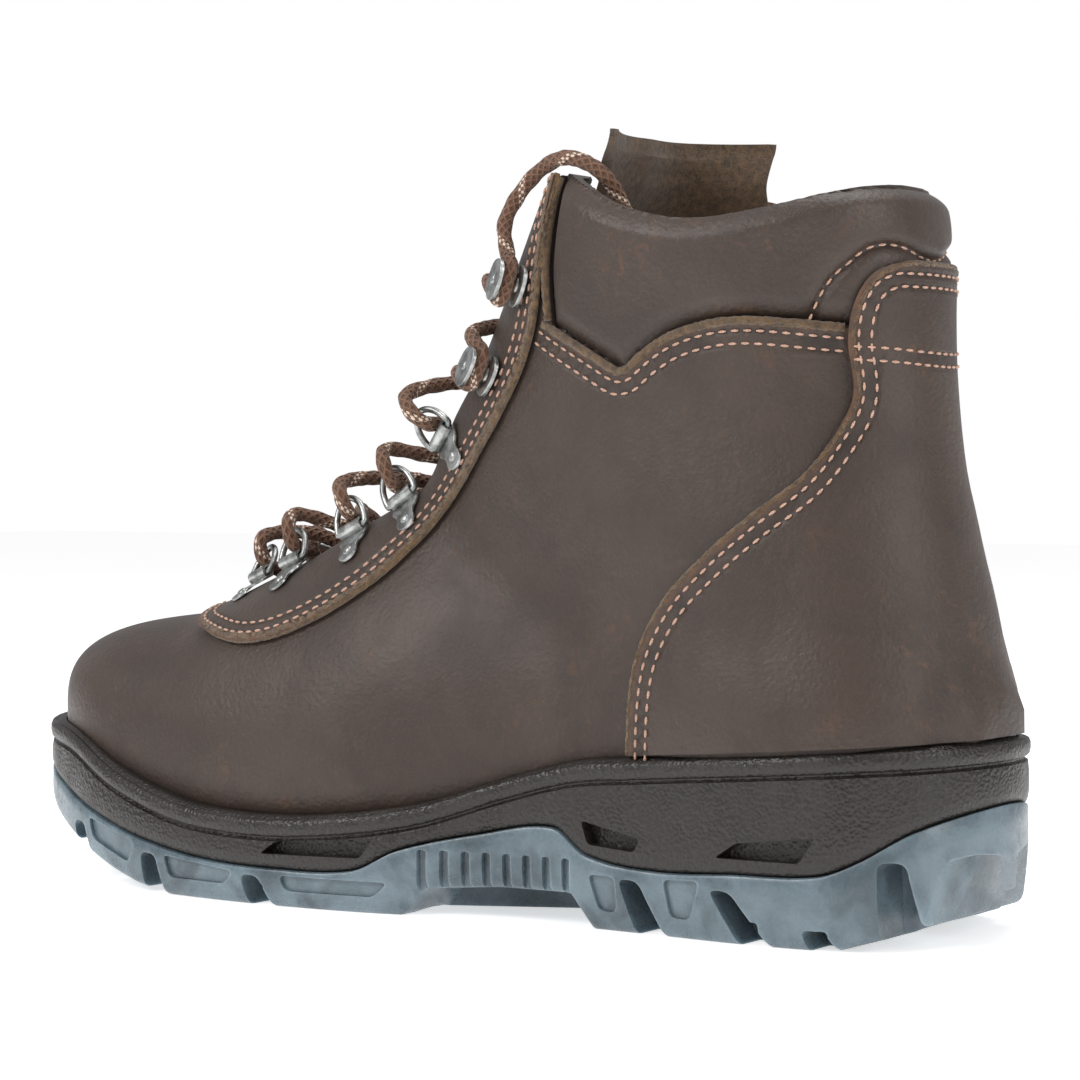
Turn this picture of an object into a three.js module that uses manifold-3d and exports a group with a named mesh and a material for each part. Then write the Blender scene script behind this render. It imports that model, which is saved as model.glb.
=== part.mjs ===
// Lace-up steel toe work boot, left foot, built up in layers the way the real one is.
// Millimetres. Toe towards -Y, heel towards +Y, outer side of the foot +X, up +Z. The ground is Z = 0.
import * as THREE from "three";
import { ParametricGeometry } from "three/addons/geometries/ParametricGeometry.js";
import { mergeVertices } from "three/addons/utils/BufferGeometryUtils.js";
import Module from "manifold-3d";

const wasm = await Module();
wasm.setup();

// ---- Driving dimensions ----
const BOOT_LENGTH = 310; // toe to heel, over the sole
const BOOT_WIDTH = 112; // across the ball, over the sole
const SHAFT_TOP = 193; // height of the collar's front corners

const LEATHER = 2.0; // upper leather
const STEEL_CAP = 2.0; // wall of the toe cap, and of the padding and heel stiffener in its layer
const LINING = 2.0;
const COLLAR_PAD = 8.0; // the padded collar, through both its skins
const TONGUE_WALL = 3.0;
const LAYER_GAP = 0.3; // between neighbouring layers
const SEAM_GAP = 0.5; // between panel edges that meet
const SOLE_FIT = 0.4; // between the upper and its well in the midsole

const LASTING_MARGIN = 17; // width of upper turned under the insole board
const BOARD_INSET = 11;
const FOOTBED_THICK = 5;
const SHANK = { length: 100, width: 14, thick: 1.2, middle: 30, clear: 0.8 }; // clear: below the insole board

const GROOVE = { width: 5, depth: 6 }; // tread grooves between the lugs
const RIB = { width: 2, depth: 1.6, pitch: 5.8, count: 8 }; // waist ribs
const WINDOW_DEPTH = 4;

const LACE_D = 4.2;
const WIRE_D = 1.8; // D-ring wire
const CLIP = { wall: 0.7, length: 7, tail: 6.5, tailWidth: 5.4, barHeight: 2.3 };
const RING = { halfWidth: 4.9, reach: 9.6, tilt: 38 };
const HOOK = { plate: 1.0, gap: 5.0, length: 11.5, neck: 4.4, base: 10.5, top: 8.5 };
const BAR_CLEARANCE = 0.3; // between the ring's bar and its sleeve

// ---- The last: one smooth field whose zero level is the outer face of the upper leather ----
const KX = BOOT_WIDTH / 112;
const KY = BOOT_LENGTH / 310;
const KZ = SHAFT_TOP / 193;
const TOE = -146.5; // front of the leather
const CAP_START = -97; // where the toe starts to round off
const HEEL_START = 70;
const HEEL_ROUND = 75;
const LOWER_HALF = 16; // height of the widest girth over the bottom
const UNDERCUT = 34; // how fast the section draws in below that
const BLEND = 16; // softness between foot and ankle
const BOTTOM_BLEND = 5;
const MIDDLE = 15; // how far from the centre line inner and outer halves mix

/** A smooth curve through [a, b] pairs, read as b(a) and held level past its ends. */
function profile(...pairs) {
  const slope = pairs.map((p, i) => {
    const before = pairs[Math.max(i - 1, 0)];
    const after = pairs[Math.min(i + 1, pairs.length - 1)];
    return (after[1] - before[1]) / (after[0] - before[0]);
  });
  return (value) => {
    const a = THREE.MathUtils.clamp(value, pairs[0][0], pairs.at(-1)[0]);
    let i = 0;
    while (i < pairs.length - 2 && pairs[i + 1][0] <= a) i++;
    const width = pairs[i + 1][0] - pairs[i][0];
    const t = (a - pairs[i][0]) / width;
    const rise = t * t * (3 - 2 * t);
    const start = t * (1 - t) * (1 - t) * width * slope[i];
    const end = t * t * (t - 1) * width * slope[i + 1];
    return pairs[i][1] * (1 - rise) + pairs[i + 1][1] * rise + start + end;
  };
}

const outerHalf = profile([-150, 44], [-110, 46], [-60, 50], [-25, 49.5], [10, 43], [45, 37], [80, 36], [120, 34]);
const innerHalf = profile([-150, 44], [-110, 46.5], [-70, 49.5], [-40, 48], [0, 38], [40, 33], [80, 34.5], [120, 33]);
const ridge = profile([-150, 74.5], [-118, 74], [-100, 75], [-85, 77.5], [-67, 85], [-50, 93], [-34, 102],
  [-18, 111], [0, 117], [25, 113], [60, 95], [110, 72]);
const fullness = profile([-150, 2.5], [-110, 2.4], [-70, 2.15], [-30, 1.9], [20, 1.9], [110, 2.2]);
const bottom = profile([-150, 36], [-120, 29.5], [-95, 23.5], [-69, 18.5], [-44, 16.5], [-20, 17.5], [7, 21],
  [32, 28], [51, 33], [75, 35.5], [150, 37.5]);
const shaftBack = profile([20, 147], [53, 148.7], [63, 147.8], [73, 146], [84, 144], [94, 141.6], [104, 139.5],
  [114, 137.3], [124, 136], [140, 134.5], [150, 134], [165, 133.5], [178, 133], [186, 130.5], [196, 124]);
const shaftFront = profile([20, 70], [50, 60], [75, 38], [100, 10], [118, -2.5], [130, -3.5], [145, 4], [166, 15],
  [192, 28], [200, 30]);
const shaftHalf = profile([20, 33], [40, 36], [55, 37], [80, 36.5], [105, 36], [130, 34], [150, 34], [170, 36.5],
  [185, 37.5], [200, 35]);
const shaftFullness = profile([20, 2.5], [80, 2.35], [130, 2.25], [200, 2.3]);

/** Height of a rounded end: 1 well inside, 0 at the very end, with share running 0 to 1 towards it. */
const rounded = (share, power) => (1 - THREE.MathUtils.clamp(share, 0, 0.9999) ** power) ** (1 / power);

function footField(x, y, z) {
  const toe = (CAP_START - y) / (CAP_START - TOE);
  const heel = rounded((y - HEEL_START) / HEEL_ROUND, 2.4);
  const girth = bottom(y) + LOWER_HALF;
  const above = (ridge(y) - girth) * rounded(toe, 2.6) * heel;
  const onTop = THREE.MathUtils.smoothstep((z - girth) / above, 0.25, 0.75); // the instep is even on both sides
  const outerShare = THREE.MathUtils.lerp(THREE.MathUtils.smoothstep(x, -MIDDLE, MIDDLE), 0.5, onTop);
  const half = THREE.MathUtils.lerp(innerHalf(y), outerHalf(y), outerShare) * rounded(toe, 2.35) * heel;
  const inward = THREE.MathUtils.clamp((-y - 60) / 90, 0, 1);
  const across = Math.abs(x + 7 * inward * inward) / half;
  const along = z > girth ? (z - girth) / above : (girth - z) / UNDERCUT;
  const power = fullness(y);
  return ((across ** power + along ** power) ** (1 / power) - 1) * Math.min(half, above) * 0.95;
}

function shaftField(x, y, z) {
  const back = shaftBack(z);
  const front = shaftFront(z);
  const long = (back - front) / 2;
  const half = shaftHalf(z);
  const power = shaftFullness(z);
  const around = (Math.abs(x) / half) ** power + (Math.abs(y - (back + front) / 2) / long) ** power;
  return (around ** (1 / power) - 1) * Math.min(long, half);
}

function softMin(a, b, width) {
  const share = THREE.MathUtils.clamp(0.5 + (0.5 * (b - a)) / width, 0, 1);
  return b + (a - b) * share - width * share * (1 - share);
}

/** Below 0 inside the foot, above 0 outside; x, y, z are real millimetres. */
function field(x, y, z) {
  const [a, b, c] = [x / KX, y / KY, z / KZ];
  const body = softMin(footField(a, b, c), shaftField(a, b, c), BLEND);
  return -softMin(-body, c - bottom(b), BOTTOM_BLEND);
}

const PROBE = 0.5;
function gradient(p) {
  return new THREE.Vector3(
    field(p.x + PROBE, p.y, p.z) - field(p.x - PROBE, p.y, p.z),
    field(p.x, p.y + PROBE, p.z) - field(p.x, p.y - PROBE, p.z),
    field(p.x, p.y, p.z + PROBE) - field(p.x, p.y, p.z - PROBE),
  ).divideScalar(2 * PROBE);
}

/** Distance of a point outside the leather's outer face, negative inside. */
const depth = (p) => field(p.x, p.y, p.z) / Math.max(gradient(p).length(), 0.3);

// Rays fan out from a spine that runs along the foot, bends at the ankle and climbs the shaft.
const FAN_CENTRE = { y: -25 * KY, z: 150 * KZ };
const SPINE_DROP = 88 * KZ;
const SPINE_RUN = 88 * KY;
const TOE_CENTRE = { y: -97 * KY, z: 44 * KZ };
const SPINE_TOP = 206 * KZ;

/** Start and direction of the ray at s along the boot (0 toe, 1 toe root, 2 instep, 3 ankle, 4 top), t around. */
function ray(s, t) {
  const toe = THREE.MathUtils.clamp(s, 0, 1) * (Math.PI / 2);
  const run = THREE.MathUtils.clamp(s - 1, 0, 1);
  const bend = THREE.MathUtils.clamp(s - 2, 0, 1) * (Math.PI / 2);
  const climb = THREE.MathUtils.clamp(s - 3, 0, 1);
  const flat = {
    y: THREE.MathUtils.lerp(TOE_CENTRE.y, FAN_CENTRE.y, run),
    z: THREE.MathUtils.lerp(TOE_CENTRE.z, FAN_CENTRE.z - SPINE_DROP, run),
  };
  const start = s < 2 ? new THREE.Vector3(0, flat.y, flat.z) : new THREE.Vector3(
    0,
    FAN_CENTRE.y + SPINE_RUN * Math.sin(bend),
    FAN_CENTRE.z - SPINE_DROP * Math.cos(bend) + climb * (SPINE_TOP - FAN_CENTRE.z),
  );
  const up = new THREE.Vector3(0, -Math.sin(bend), Math.cos(bend));
  const forward = new THREE.Vector3(0, -Math.cos(bend), -Math.sin(bend));
  const direction = forward.multiplyScalar(Math.cos(toe)).addScaledVector(up, Math.sin(toe) * Math.cos(t));
  direction.x = Math.sin(toe) * Math.sin(t);
  return { start, direction };
}

/** Where that ray leaves the layer at a given distance outside the leather's outer face. */
function layerPoint(s, t, level) {
  const { start, direction } = ray(s, t);
  const at = (r) => start.clone().addScaledVector(direction, r);
  let far = 4;
  while (far < 260 && depth(at(far)) < level) far += 4;
  let near = far - 4;
  for (let i = 0; i < 20; i++) {
    const middle = (near + far) / 2;
    if (depth(at(middle)) < level) near = middle;
    else far = middle;
  }
  return at((near + far) / 2);
}

/** Moves a point straight onto a layer. */
function ontoLayer(point, level) {
  const p = point.clone();
  for (let i = 0; i < 12; i++) {
    const slope = gradient(p);
    p.addScaledVector(slope.normalize(), level - depth(p));
  }
  return p;
}

// ---- Solids ----
/** A closed geometry as a manifold-3d solid. */
function solid(geometry) {
  const bare = geometry.index ? geometry.toNonIndexed() : geometry.clone();
  for (const name of Object.keys(bare.attributes)) if (name !== "position") bare.deleteAttribute(name);
  const merged = mergeVertices(bare, 1e-4);
  const corners = merged.index.array;
  const faces = [];
  for (let i = 0; i < corners.length; i += 3) {
    const [a, b, c] = [corners[i], corners[i + 1], corners[i + 2]];
    if (a !== b && b !== c && a !== c) faces.push(a, b, c);
  }
  const mesh = { numProp: 3, vertProperties: merged.attributes.position.array, triVerts: new Uint32Array(faces) };
  return new wasm.Manifold(new wasm.Mesh(mesh));
}

/** A manifold-3d solid as a geometry, with flat shading normals. */
function geometryOf(manifold) {
  const mesh = manifold.getMesh();
  const geometry = new THREE.BufferGeometry();
  geometry.setAttribute("position", new THREE.BufferAttribute(mesh.vertProperties, 3));
  geometry.setIndex(new THREE.BufferAttribute(mesh.triVerts, 1));
  geometry.computeVertexNormals();
  return geometry;
}

const RINGS = [0.26, 0.52, 0.78, 1, 1.25, 1.5, 1.75, 2, 2.15, 2.3, 2.44, 2.58, 2.72, 2.86, 3, 3.35, 3.7, 4];
const AROUND = 20;
const levels = new Map();

/** Everything inside one layer, as a closed solid from the toe up to the spine's top. */
function lastSolid(level) {
  if (levels.has(level)) return levels.get(level);
  const top = new THREE.Vector3(0, FAN_CENTRE.y + SPINE_RUN, SPINE_TOP);
  const surface = (u, v, target) => {
    const ring = Math.round(v * (RINGS.length + 1));
    if (ring === 0) target.copy(layerPoint(0, 0, level));
    else if (ring > RINGS.length) target.copy(top);
    else target.copy(layerPoint(RINGS[ring - 1], (u % 1) * 2 * Math.PI, level));
    if (ring === RINGS.length) target.z = SPINE_TOP;
  };
  const made = solid(new ParametricGeometry(surface, AROUND, RINGS.length + 1));
  levels.set(level, made);
  return made;
}

/** The skin between two layers. */
const shell = (outer, inner) => lastSolid(outer).subtract(lastSolid(inner));

const YZ_PLANE = new THREE.Matrix4().makeBasis(
  new THREE.Vector3(0, 1, 0), new THREE.Vector3(0, 0, 1), new THREE.Vector3(1, 0, 0));

/** A side view outline [y, z], cut through the boot from x0 to x1. */
function sideCut(outline, x0 = -90, x1 = 90) {
  const shape = new THREE.Shape(outline.map(([y, z]) => new THREE.Vector2(y * KY, z * KZ)));
  const geometry = new THREE.ExtrudeGeometry(shape, { depth: x1 - x0, bevelEnabled: false });
  return solid(geometry.translate(0, 0, x0).applyMatrix4(YZ_PLANE));
}

/** Points along a smooth line through [y, z] corners, a few for each. */
function smooth(corners, perCorner = 2) {
  const curve = new THREE.SplineCurve(corners.map(([a, b]) => new THREE.Vector2(a, b)));
  return curve.getPoints((corners.length - 1) * perCorner).map((p) => [p.x, p.y]);
}

/** Samples a profile as [a, b + lift] points. */
function along(curve, from, to, steps, lift = 0) {
  return Array.from({ length: steps + 1 }, (_, i) => {
    const a = THREE.MathUtils.lerp(from, to, i / steps);
    return [a, curve(a) + lift];
  });
}

// ---- Outlines in side view, [y, z], for a boot of the nominal size ----
const collarSeam = smooth([[39.5, 152.5], [52.7, 145.7], [61, 141.2]]).concat(
  smooth([[63.5, 141.2], [68.3, 145], [75.8, 149.3], [86, 152.3], [97, 153.3], [120, 151.2], [134, 148], [152, 147]]));
const collarFront = [[39, 195], [37, 171], [39.5, 152.5]];
const collarTop = smooth([[39, 193.5], [48, 189.5], [62, 183], [83, 179], [103, 181], [123, 186], [136, 189],
  [150, 190]]);
const facingEdge = smooth([[-93, 80], [-83, 74], [-74, 71.8], [-59, 69.7], [-46, 71.5], [-31, 77.8], [-17.3, 87],
  [-9, 95.5], [-0.8, 105.7], [10.8, 119], [21.5, 132], [28, 142.4], [32.7, 155]]).concat([[35.2, 171], [37.5, 193]]);
const counterEdge = smooth([[67, 30], [68, 45], [72, 71], [79, 84], [89, 94], [102, 105], [113, 114], [119.5, 124],
  [123.5, 134], [122.5, 148], [124, 157], [128, 164.5], [133, 167.5]]);
const feather = profile([-158, 45], [-140, 44], [-118, 42], [-95, 33], [-69, 26], [-44, 24], [-20, 25], [7, 29],
  [32, 37], [51, 42], [70, 44], [107, 47], [134, 49], [158, 50.5]);
const parting = profile([-158, 35], [-126, 26.5], [-109, 21], [-86, 15], [-60, 11], [-36, 10], [-10, 11], [3, 17],
  [24, 22], [46, 25], [56, 18.5], [76, 16], [99, 17], [122, 18], [132, 22], [143, 29], [158, 36]);
const groundLine = [[-158, 27], [-140, 20.5], [-124, 14.5], [-109, 9], [-97, 5], [-86, 2], [-72, 0], [4, 0],
  [9, 7], [30, 8.5], [51, 8.5], [58, 0], [126, 0], [141, 4.5], [152, 9.5], [158, 15]];
const GROUND_UNDER_GROOVES = [[-113, 10.5], [-79, 1], [-41, 0], [74, 0], [104, 0], [124, 0], [143, 5]];
const WINDOWS = [
  [[-38, 14], [-33, 17.5], [-3, 20], [-7, 14.5]],
  [[55, 27.5], [57, 21.5], [71, 20.5], [73, 24]],
  [[95, 21], [101, 25], [122, 27.5], [118, 21]],
];
const farLow = -20;
const farTop = 215;
const farToe = -175;
const farHeel = 175;

const quarterRegion = [[farToe, farLow], [farHeel, farLow], [farHeel, 147], ...collarSeam.toReversed(),
  [37, 171], [38.5, 193], [farToe, 193]];
const collarRegion = [...collarFront.toReversed(), ...collarTop, [farHeel, 190], [farHeel, 147],
  ...collarSeam.toReversed()].map(([y, z]) => [y + SEAM_GAP, z > 175 ? z : z + SEAM_GAP]);
const facingRegion = [...facingEdge, [farToe, 193], [farToe, 80]];
const counterRegion = [...counterEdge, [farHeel, 167.5], [farHeel, 30]];
const soleRegion = [...along(feather, -158, 158, 40, 0.6), [farHeel, farLow], [farToe, farLow]];
const capRegion = [[farToe, farLow], [-88, farLow], [-97, 90], [farToe, 90]];
const stiffenerRegion = [[80, farLow], [84, 70], [105, 98], [farHeel, 112], [farHeel, farLow]];

/** The same outline with every point moved, for a seam gap. */
const moved = (outline, dy, dz) => outline.map(([y, z]) => [y + dy, z + dz]);

const throatHalf = [[0, -1], [5.5, 1], [8.5, 8], [13, 24], [15.5, 47], [16.5, 66], [17.5, 89], [18, 111], [18, 135],
  [17.5, 175]];

/** The lacing gap, cut square to the instep's slope; grow widens it. */
function throatCut(grow = 0) {
  const side = throatHalf.map(([x, e]) => [x > 0 ? x + grow : 0, e > 0 ? e : e - grow]);
  const outline = side.concat(side.slice(1).map(([x, e]) => [-x, e]).toReversed());
  const shape = new THREE.Shape(outline.map(([x, e]) => new THREE.Vector2(x, e)));
  const geometry = new THREE.ExtrudeGeometry(shape, { depth: 120, bevelEnabled: false });
  const slope = Math.SQRT1_2;
  const turn = new THREE.Matrix4().makeBasis(
    new THREE.Vector3(1, 0, 0), new THREE.Vector3(0, slope, slope), new THREE.Vector3(0, -slope, slope));
  geometry.translate(0, 0, 72).applyMatrix4(turn).scale(KX, KY, KZ);
  return solid(geometry);
}

// ---- The sole's outline in plan, [x, y] ----
const plan = new THREE.CatmullRomCurve3([[-8, -155], [14, -150], [33, -135], [47, -110], [54, -80], [56, -42],
  [52, -5], [44, 22], [41, 45], [41, 75], [41.5, 102], [38, 128], [27, 146], [0, 155], [-27, 146], [-38, 128],
  [-41, 102], [-39, 72], [-37, 42], [-40, 8], [-49, -25], [-56, -58], [-55, -90], [-49, -118], [-34, -142]]
  .map(([x, y]) => new THREE.Vector3(x * KX, y * KY, 0)), true);
const PLAN_STEPS = 60;

/** A prism of the sole's plan, drawn in by inset, from z0 to z1. */
function planPrism(inset, z0 = -5, z1 = 120) {
  const shape = new THREE.Shape(Array.from({ length: PLAN_STEPS }, (_, i) => {
    const point = plan.getPointAt(i / PLAN_STEPS);
    const tangent = plan.getTangentAt(i / PLAN_STEPS);
    return new THREE.Vector2(point.x - tangent.y * inset, point.y + tangent.x * inset);
  }));
  const geometry = new THREE.ExtrudeGeometry(shape, { depth: z1 - z0, bevelEnabled: false });
  return solid(geometry.translate(0, 0, z0));
}

/** The region between two lines in side view, as a closed outline. */
const between = (low, high) => [...low, ...high.toReversed()];

/** Everything from one height to another over the last's bottom line. */
const overBottom = (low, high) => sideCut(between(along(bottom, -158, 158, 16, low), along(bottom, -158, 158, 16, high)));

// ---- Upper ----
const quarter = sideCut(quarterRegion);
const throat = throatCut();
const cap = sideCut(capRegion);
const stiffener = sideCut(stiffenerRegion);
const boardPlan = planPrism(BOARD_INSET + 5);

function vampAndQuarters() {
  const opening = planPrism(LASTING_MARGIN + 5).intersect(overBottom(-3, 4));
  return shell(0, -LEATHER).intersect(quarter).subtract(throat).subtract(opening);
}

const capOuter = -(LEATHER + LAYER_GAP);
const capInner = capOuter - STEEL_CAP;
const liningOuter = capInner - LAYER_GAP;
const liningInner = liningOuter - LINING;

/** The sheet between lining and leather, without what lies under the foot. */
function middleLayer() {
  return shell(capOuter, capInner).intersect(quarter).subtract(throatCut(SEAM_GAP));
}

const underFoot = overBottom(-3, 8);

function toeCap() {
  return middleLayer().intersect(cap).subtract(boardPlan.intersect(underFoot));
}

function heelStiffener() {
  return middleLayer().intersect(stiffener).subtract(boardPlan.intersect(underFoot));
}

function padding() {
  const ends = sideCut(moved(capRegion, SEAM_GAP, 0)).add(sideCut(moved(stiffenerRegion, -SEAM_GAP, SEAM_GAP)));
  return middleLayer().subtract(ends).subtract(underFoot);
}

function insoleBoard() {
  const outline = planPrism(BOARD_INSET + 5 + SEAM_GAP);
  return shell(capOuter, capInner).intersect(outline).intersect(overBottom(-3, 7));
}

const lining = () => shell(liningOuter, liningInner).intersect(quarter).subtract(throatCut(SEAM_GAP));

function footbed() {
  const top = liningInner * -1 + LAYER_GAP + FOOTBED_THICK;
  return lastSolid(liningInner - LAYER_GAP).intersect(overBottom(-3, top));
}

function shank() {
  const [from, to] = [SHANK.middle - SHANK.length / 2, SHANK.middle + SHANK.length / 2];
  const strip = between(along(bottom, from, to, 6, -4), along(bottom, from, to, 6, 6));
  const top = capOuter + SHANK.clear;
  return shell(top + SHANK.thick, top).intersect(sideCut(strip, -SHANK.width / 2, SHANK.width / 2));
}

const collar = () => shell(0, -COLLAR_PAD).intersect(sideCut(collarRegion));

const overlay = () => shell(LAYER_GAP + LEATHER, LAYER_GAP);
const facing = () => overlay().intersect(sideCut(facingRegion)).subtract(throat);
const counter = () => overlay().intersect(sideCut(counterRegion)).subtract(sideCut(soleRegion));

const TONGUE = { from: 1.22, to: 3.96, halfFoot: 0.62, halfShaft: 0.78, leanFrom: 2.9, lean: 8, collarRoom: 1.9,
  gap: 1.4, flareFrom: 3.72, flareTurn: 0.5, flareOut: 5, wingFrom: 3.2, wingTo: 3.6, wingTurn: 1.05 };
const TONGUE_ACROSS = 8;
const TONGUE_STEPS = 15;

/** Half the tongue's angle round the spine at s: its outer edge spreads above the collar, its inner one sooner. */
function tongueHalf(s, inner) {
  const grown = THREE.MathUtils.smoothstep(s, TONGUE.from, 3);
  const half = THREE.MathUtils.lerp(TONGUE.halfFoot, TONGUE.halfShaft, grown);
  if (inner) return half + TONGUE.wingTurn * THREE.MathUtils.smoothstep(s, TONGUE.wingFrom, TONGUE.wingTo);
  return half + TONGUE.flareTurn * THREE.MathUtils.smoothstep(s, TONGUE.flareFrom, TONGUE.to);
}

/** A strip under the lacing gap, leaning into the shaft towards its top. */
function tongue() {
  const outer = liningInner - TONGUE.gap;
  const surface = (u, v, target) => {
    const row = Math.round(v * (TONGUE_STEPS + 2));
    const share = THREE.MathUtils.clamp((row - 1) / TONGUE_STEPS, 0, 1);
    const s = THREE.MathUtils.lerp(TONGUE.from, TONGUE.to, share);
    const column = Math.round(u * 2 * (TONGUE_ACROSS + 1)) % (2 * (TONGUE_ACROSS + 1));
    const outside = column <= TONGUE_ACROSS;
    const across = outside ? column : 2 * TONGUE_ACROSS + 1 - column;
    const w = (across / TONGUE_ACROSS) * 2 - 1;
    const leaning = TONGUE.lean * THREE.MathUtils.smoothstep(s, TONGUE.leanFrom, TONGUE.to) * (1 - w * w);
    const beside = (COLLAR_PAD + TONGUE.collarRoom + outer) * THREE.MathUtils.smoothstep(s, 2.4, 2.8);
    const flare = TONGUE.flareOut * THREE.MathUtils.smoothstep(s, TONGUE.flareFrom, TONGUE.to) * w * w;
    const lean = leaning + beside - flare;
    const end = row === 0 || row === TONGUE_STEPS + 2;
    const wall = end ? TONGUE_WALL / 2 : outside ? 0 : TONGUE_WALL;
    const past = row === 0 ? -0.02 : row === TONGUE_STEPS + 2 ? 0.02 : 0;
    target.copy(layerPoint(s + past, w * tongueHalf(s, w < 0), outer - lean - wall));
  };
  return solid(new ParametricGeometry(surface, 2 * (TONGUE_ACROSS + 1), TONGUE_STEPS + 2));
}

// ---- Sole ----
function windowsCut() {
  const holes = WINDOWS.map((outline) => sideCut(outline)).reduce((all, one) => all.add(one));
  return holes.subtract(planPrism(WINDOW_DEPTH));
}

function midsole() {
  const outline = between(along(parting, -158, 158, 80, LAYER_GAP), along(feather, -158, 158, 40));
  return planPrism(0).intersect(sideCut(outline)).subtract(lastSolid(SOLE_FIT)).subtract(windowsCut());
}

/** One groove across the tread, leaning back as it rises. */
function groove([y, z]) {
  const [half, deep] = [GROOVE.width / 2 / KY, GROOVE.depth / KZ];
  return sideCut([[y - half, z - 6], [y + half, z - 6], [y + half - 2, z + deep], [y - half, z + deep]]);
}

/** The fluted sides of the waist. */
function ribsCut() {
  const first = 30 - (RIB.pitch * (RIB.count - 1)) / 2;
  const slots = Array.from({ length: RIB.count }, (_, i) => {
    const y = first + i * RIB.pitch;
    return sideCut([[y - RIB.width / 2, -5], [y + RIB.width / 2, -5], [y + RIB.width / 2, 17], [y - RIB.width / 2, 17]]);
  }).reduce((all, one) => all.add(one));
  return slots.subtract(planPrism(RIB.depth));
}

function outsole() {
  const outline = between(groundLine, along(parting, -158, 158, 80));
  const grooves = GROUND_UNDER_GROOVES.map(groove).reduce((all, one) => all.add(one));
  return planPrism(0).intersect(sideCut(outline)).subtract(grooves).subtract(ribsCut());
}

// ---- Lacing hardware, in its own frame: x away from the lacing gap, y up the boot, z off the leather ----
function prismUp(points, z0, z1) {
  const shape = new THREE.Shape(points.map(([x, y]) => new THREE.Vector2(x, y)));
  return solid(new THREE.ExtrudeGeometry(shape, { depth: z1 - z0, bevelEnabled: false }).translate(0, 0, z0));
}

/** A round-ended plate from x0 to x1, half as wide as w. */
function platePoints(x0, x1, w, corner) {
  const shape = new THREE.Shape();
  const h = w / 2;
  shape.moveTo(x0 + corner, -h).lineTo(x1 - corner, -h);
  shape.absarc(x1 - corner, -h + corner, corner, -Math.PI / 2, 0).lineTo(x1, h - corner);
  shape.absarc(x1 - corner, h - corner, corner, 0, Math.PI / 2).lineTo(x0 + corner, h);
  shape.absarc(x0 + corner, h - corner, corner, Math.PI / 2, Math.PI).lineTo(x0, -h + corner);
  shape.absarc(x0 + corner, -h + corner, corner, Math.PI, 1.5 * Math.PI);
  return shape;
}

const plate = (x0, x1, w, corner, z0, z1) => solid(new THREE.ExtrudeGeometry(
  platePoints(x0, x1, w, corner), { depth: z1 - z0, bevelEnabled: false, curveSegments: 2 }).translate(0, 0, z0));

const SLEEVE_BORE = WIRE_D / 2 + BAR_CLEARANCE;
const SLEEVE_OUTER = SLEEVE_BORE + CLIP.wall;
const CLIP_LIFT = 0.8; // between the clip and the facing, which has small flats
const BAR_HEIGHT = Math.max(CLIP.barHeight, SLEEVE_OUTER + CLIP_LIFT);

/** The stamped clip: a sleeve round the ring's bar and a tail that is riveted to the leather. */
function clip() {
  const section = new THREE.Shape().absarc(0, BAR_HEIGHT, SLEEVE_OUTER, 0, 2 * Math.PI);
  section.holes.push(new THREE.Path().absarc(0, BAR_HEIGHT, SLEEVE_BORE, 0, 2 * Math.PI, true));
  const sleeve = new THREE.ExtrudeGeometry(section, { depth: CLIP.length, bevelEnabled: false, curveSegments: 5 });
  sleeve.translate(0, 0, -CLIP.length / 2).rotateX(Math.PI / 2);
  const foot = BAR_HEIGHT - SLEEVE_OUTER;
  const tail = plate(0.2, SLEEVE_OUTER + CLIP.tail, CLIP.tailWidth, CLIP.tailWidth / 2.2, foot, foot + CLIP.wall);
  return solid(sleeve).add(tail.subtract(solid(new THREE.CylinderGeometry(
    SLEEVE_BORE + 0.1, SLEEVE_BORE + 0.1, CLIP.length + 4, 10).translate(0, 0, BAR_HEIGHT))));
}

/** The D of wire: a straight bar in the sleeve and a bow that reaches towards the lacing gap. */
function ring() {
  const path = new THREE.CatmullRomCurve3([[0, -1], [-3, -1.02], [-6, -0.86], [-8.6, -0.45], [-9.6, 0], [-8.6, 0.45],
    [-6, 0.86], [-3, 1.02], [0, 1]]
    .map(([x, y]) => new THREE.Vector3((x / 9.6) * RING.reach, y * RING.halfWidth, 0)));
  const section = new THREE.Shape().absarc(0, 0, WIRE_D / 2, 0, 2 * Math.PI);
  const bow = new THREE.ExtrudeGeometry(section, { steps: 12, extrudePath: path, curveSegments: 3 });
  const bar = new THREE.CylinderGeometry(WIRE_D / 2, WIRE_D / 2, 2 * RING.halfWidth + WIRE_D, 6);
  const made = solid(bow).add(solid(bar));
  return geometryOf(made).rotateY(THREE.MathUtils.degToRad(RING.tilt));
}

/** The speed hook: a riveted base, a narrow neck by the gap and a plate that holds the lace under it. */
function hook() {
  const low = CLIP_LIFT;
  const under = low + HOOK.plate;
  const over = under + HOOK.gap;
  const base = plate(-2, HOOK.base - 2, HOOK.length, 3.4, low, under);
  const top = plate(-2, HOOK.top - 2, HOOK.length, 3, over, over + HOOK.plate);
  const neck = plate(-2, -2 + HOOK.plate * 1.3, HOOK.neck, 0.4, low + 0.1, over + HOOK.plate - 0.1);
  return base.add(top).add(neck);
}

// ---- Lacing stations, low to high: half the distance across, then y and z near the facing's surface ----
const STATIONS = [
  { name: "1", kind: "ring", at: [15, -69.5, 83.5] },
  { name: "2", kind: "ring", at: [19.5, -54.5, 89] },
  { name: "3", kind: "ring", at: [21, -32, 98.5] },
  { name: "4", kind: "ring", at: [20, -18, 109] },
  { name: "5", kind: "ring", at: [20.5, -1.5, 125] },
  { name: "6", kind: "hook", at: [24, 14.5, 143] },
  { name: "7", kind: "hook", at: [25.5, 26, 165.5] },
];

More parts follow.
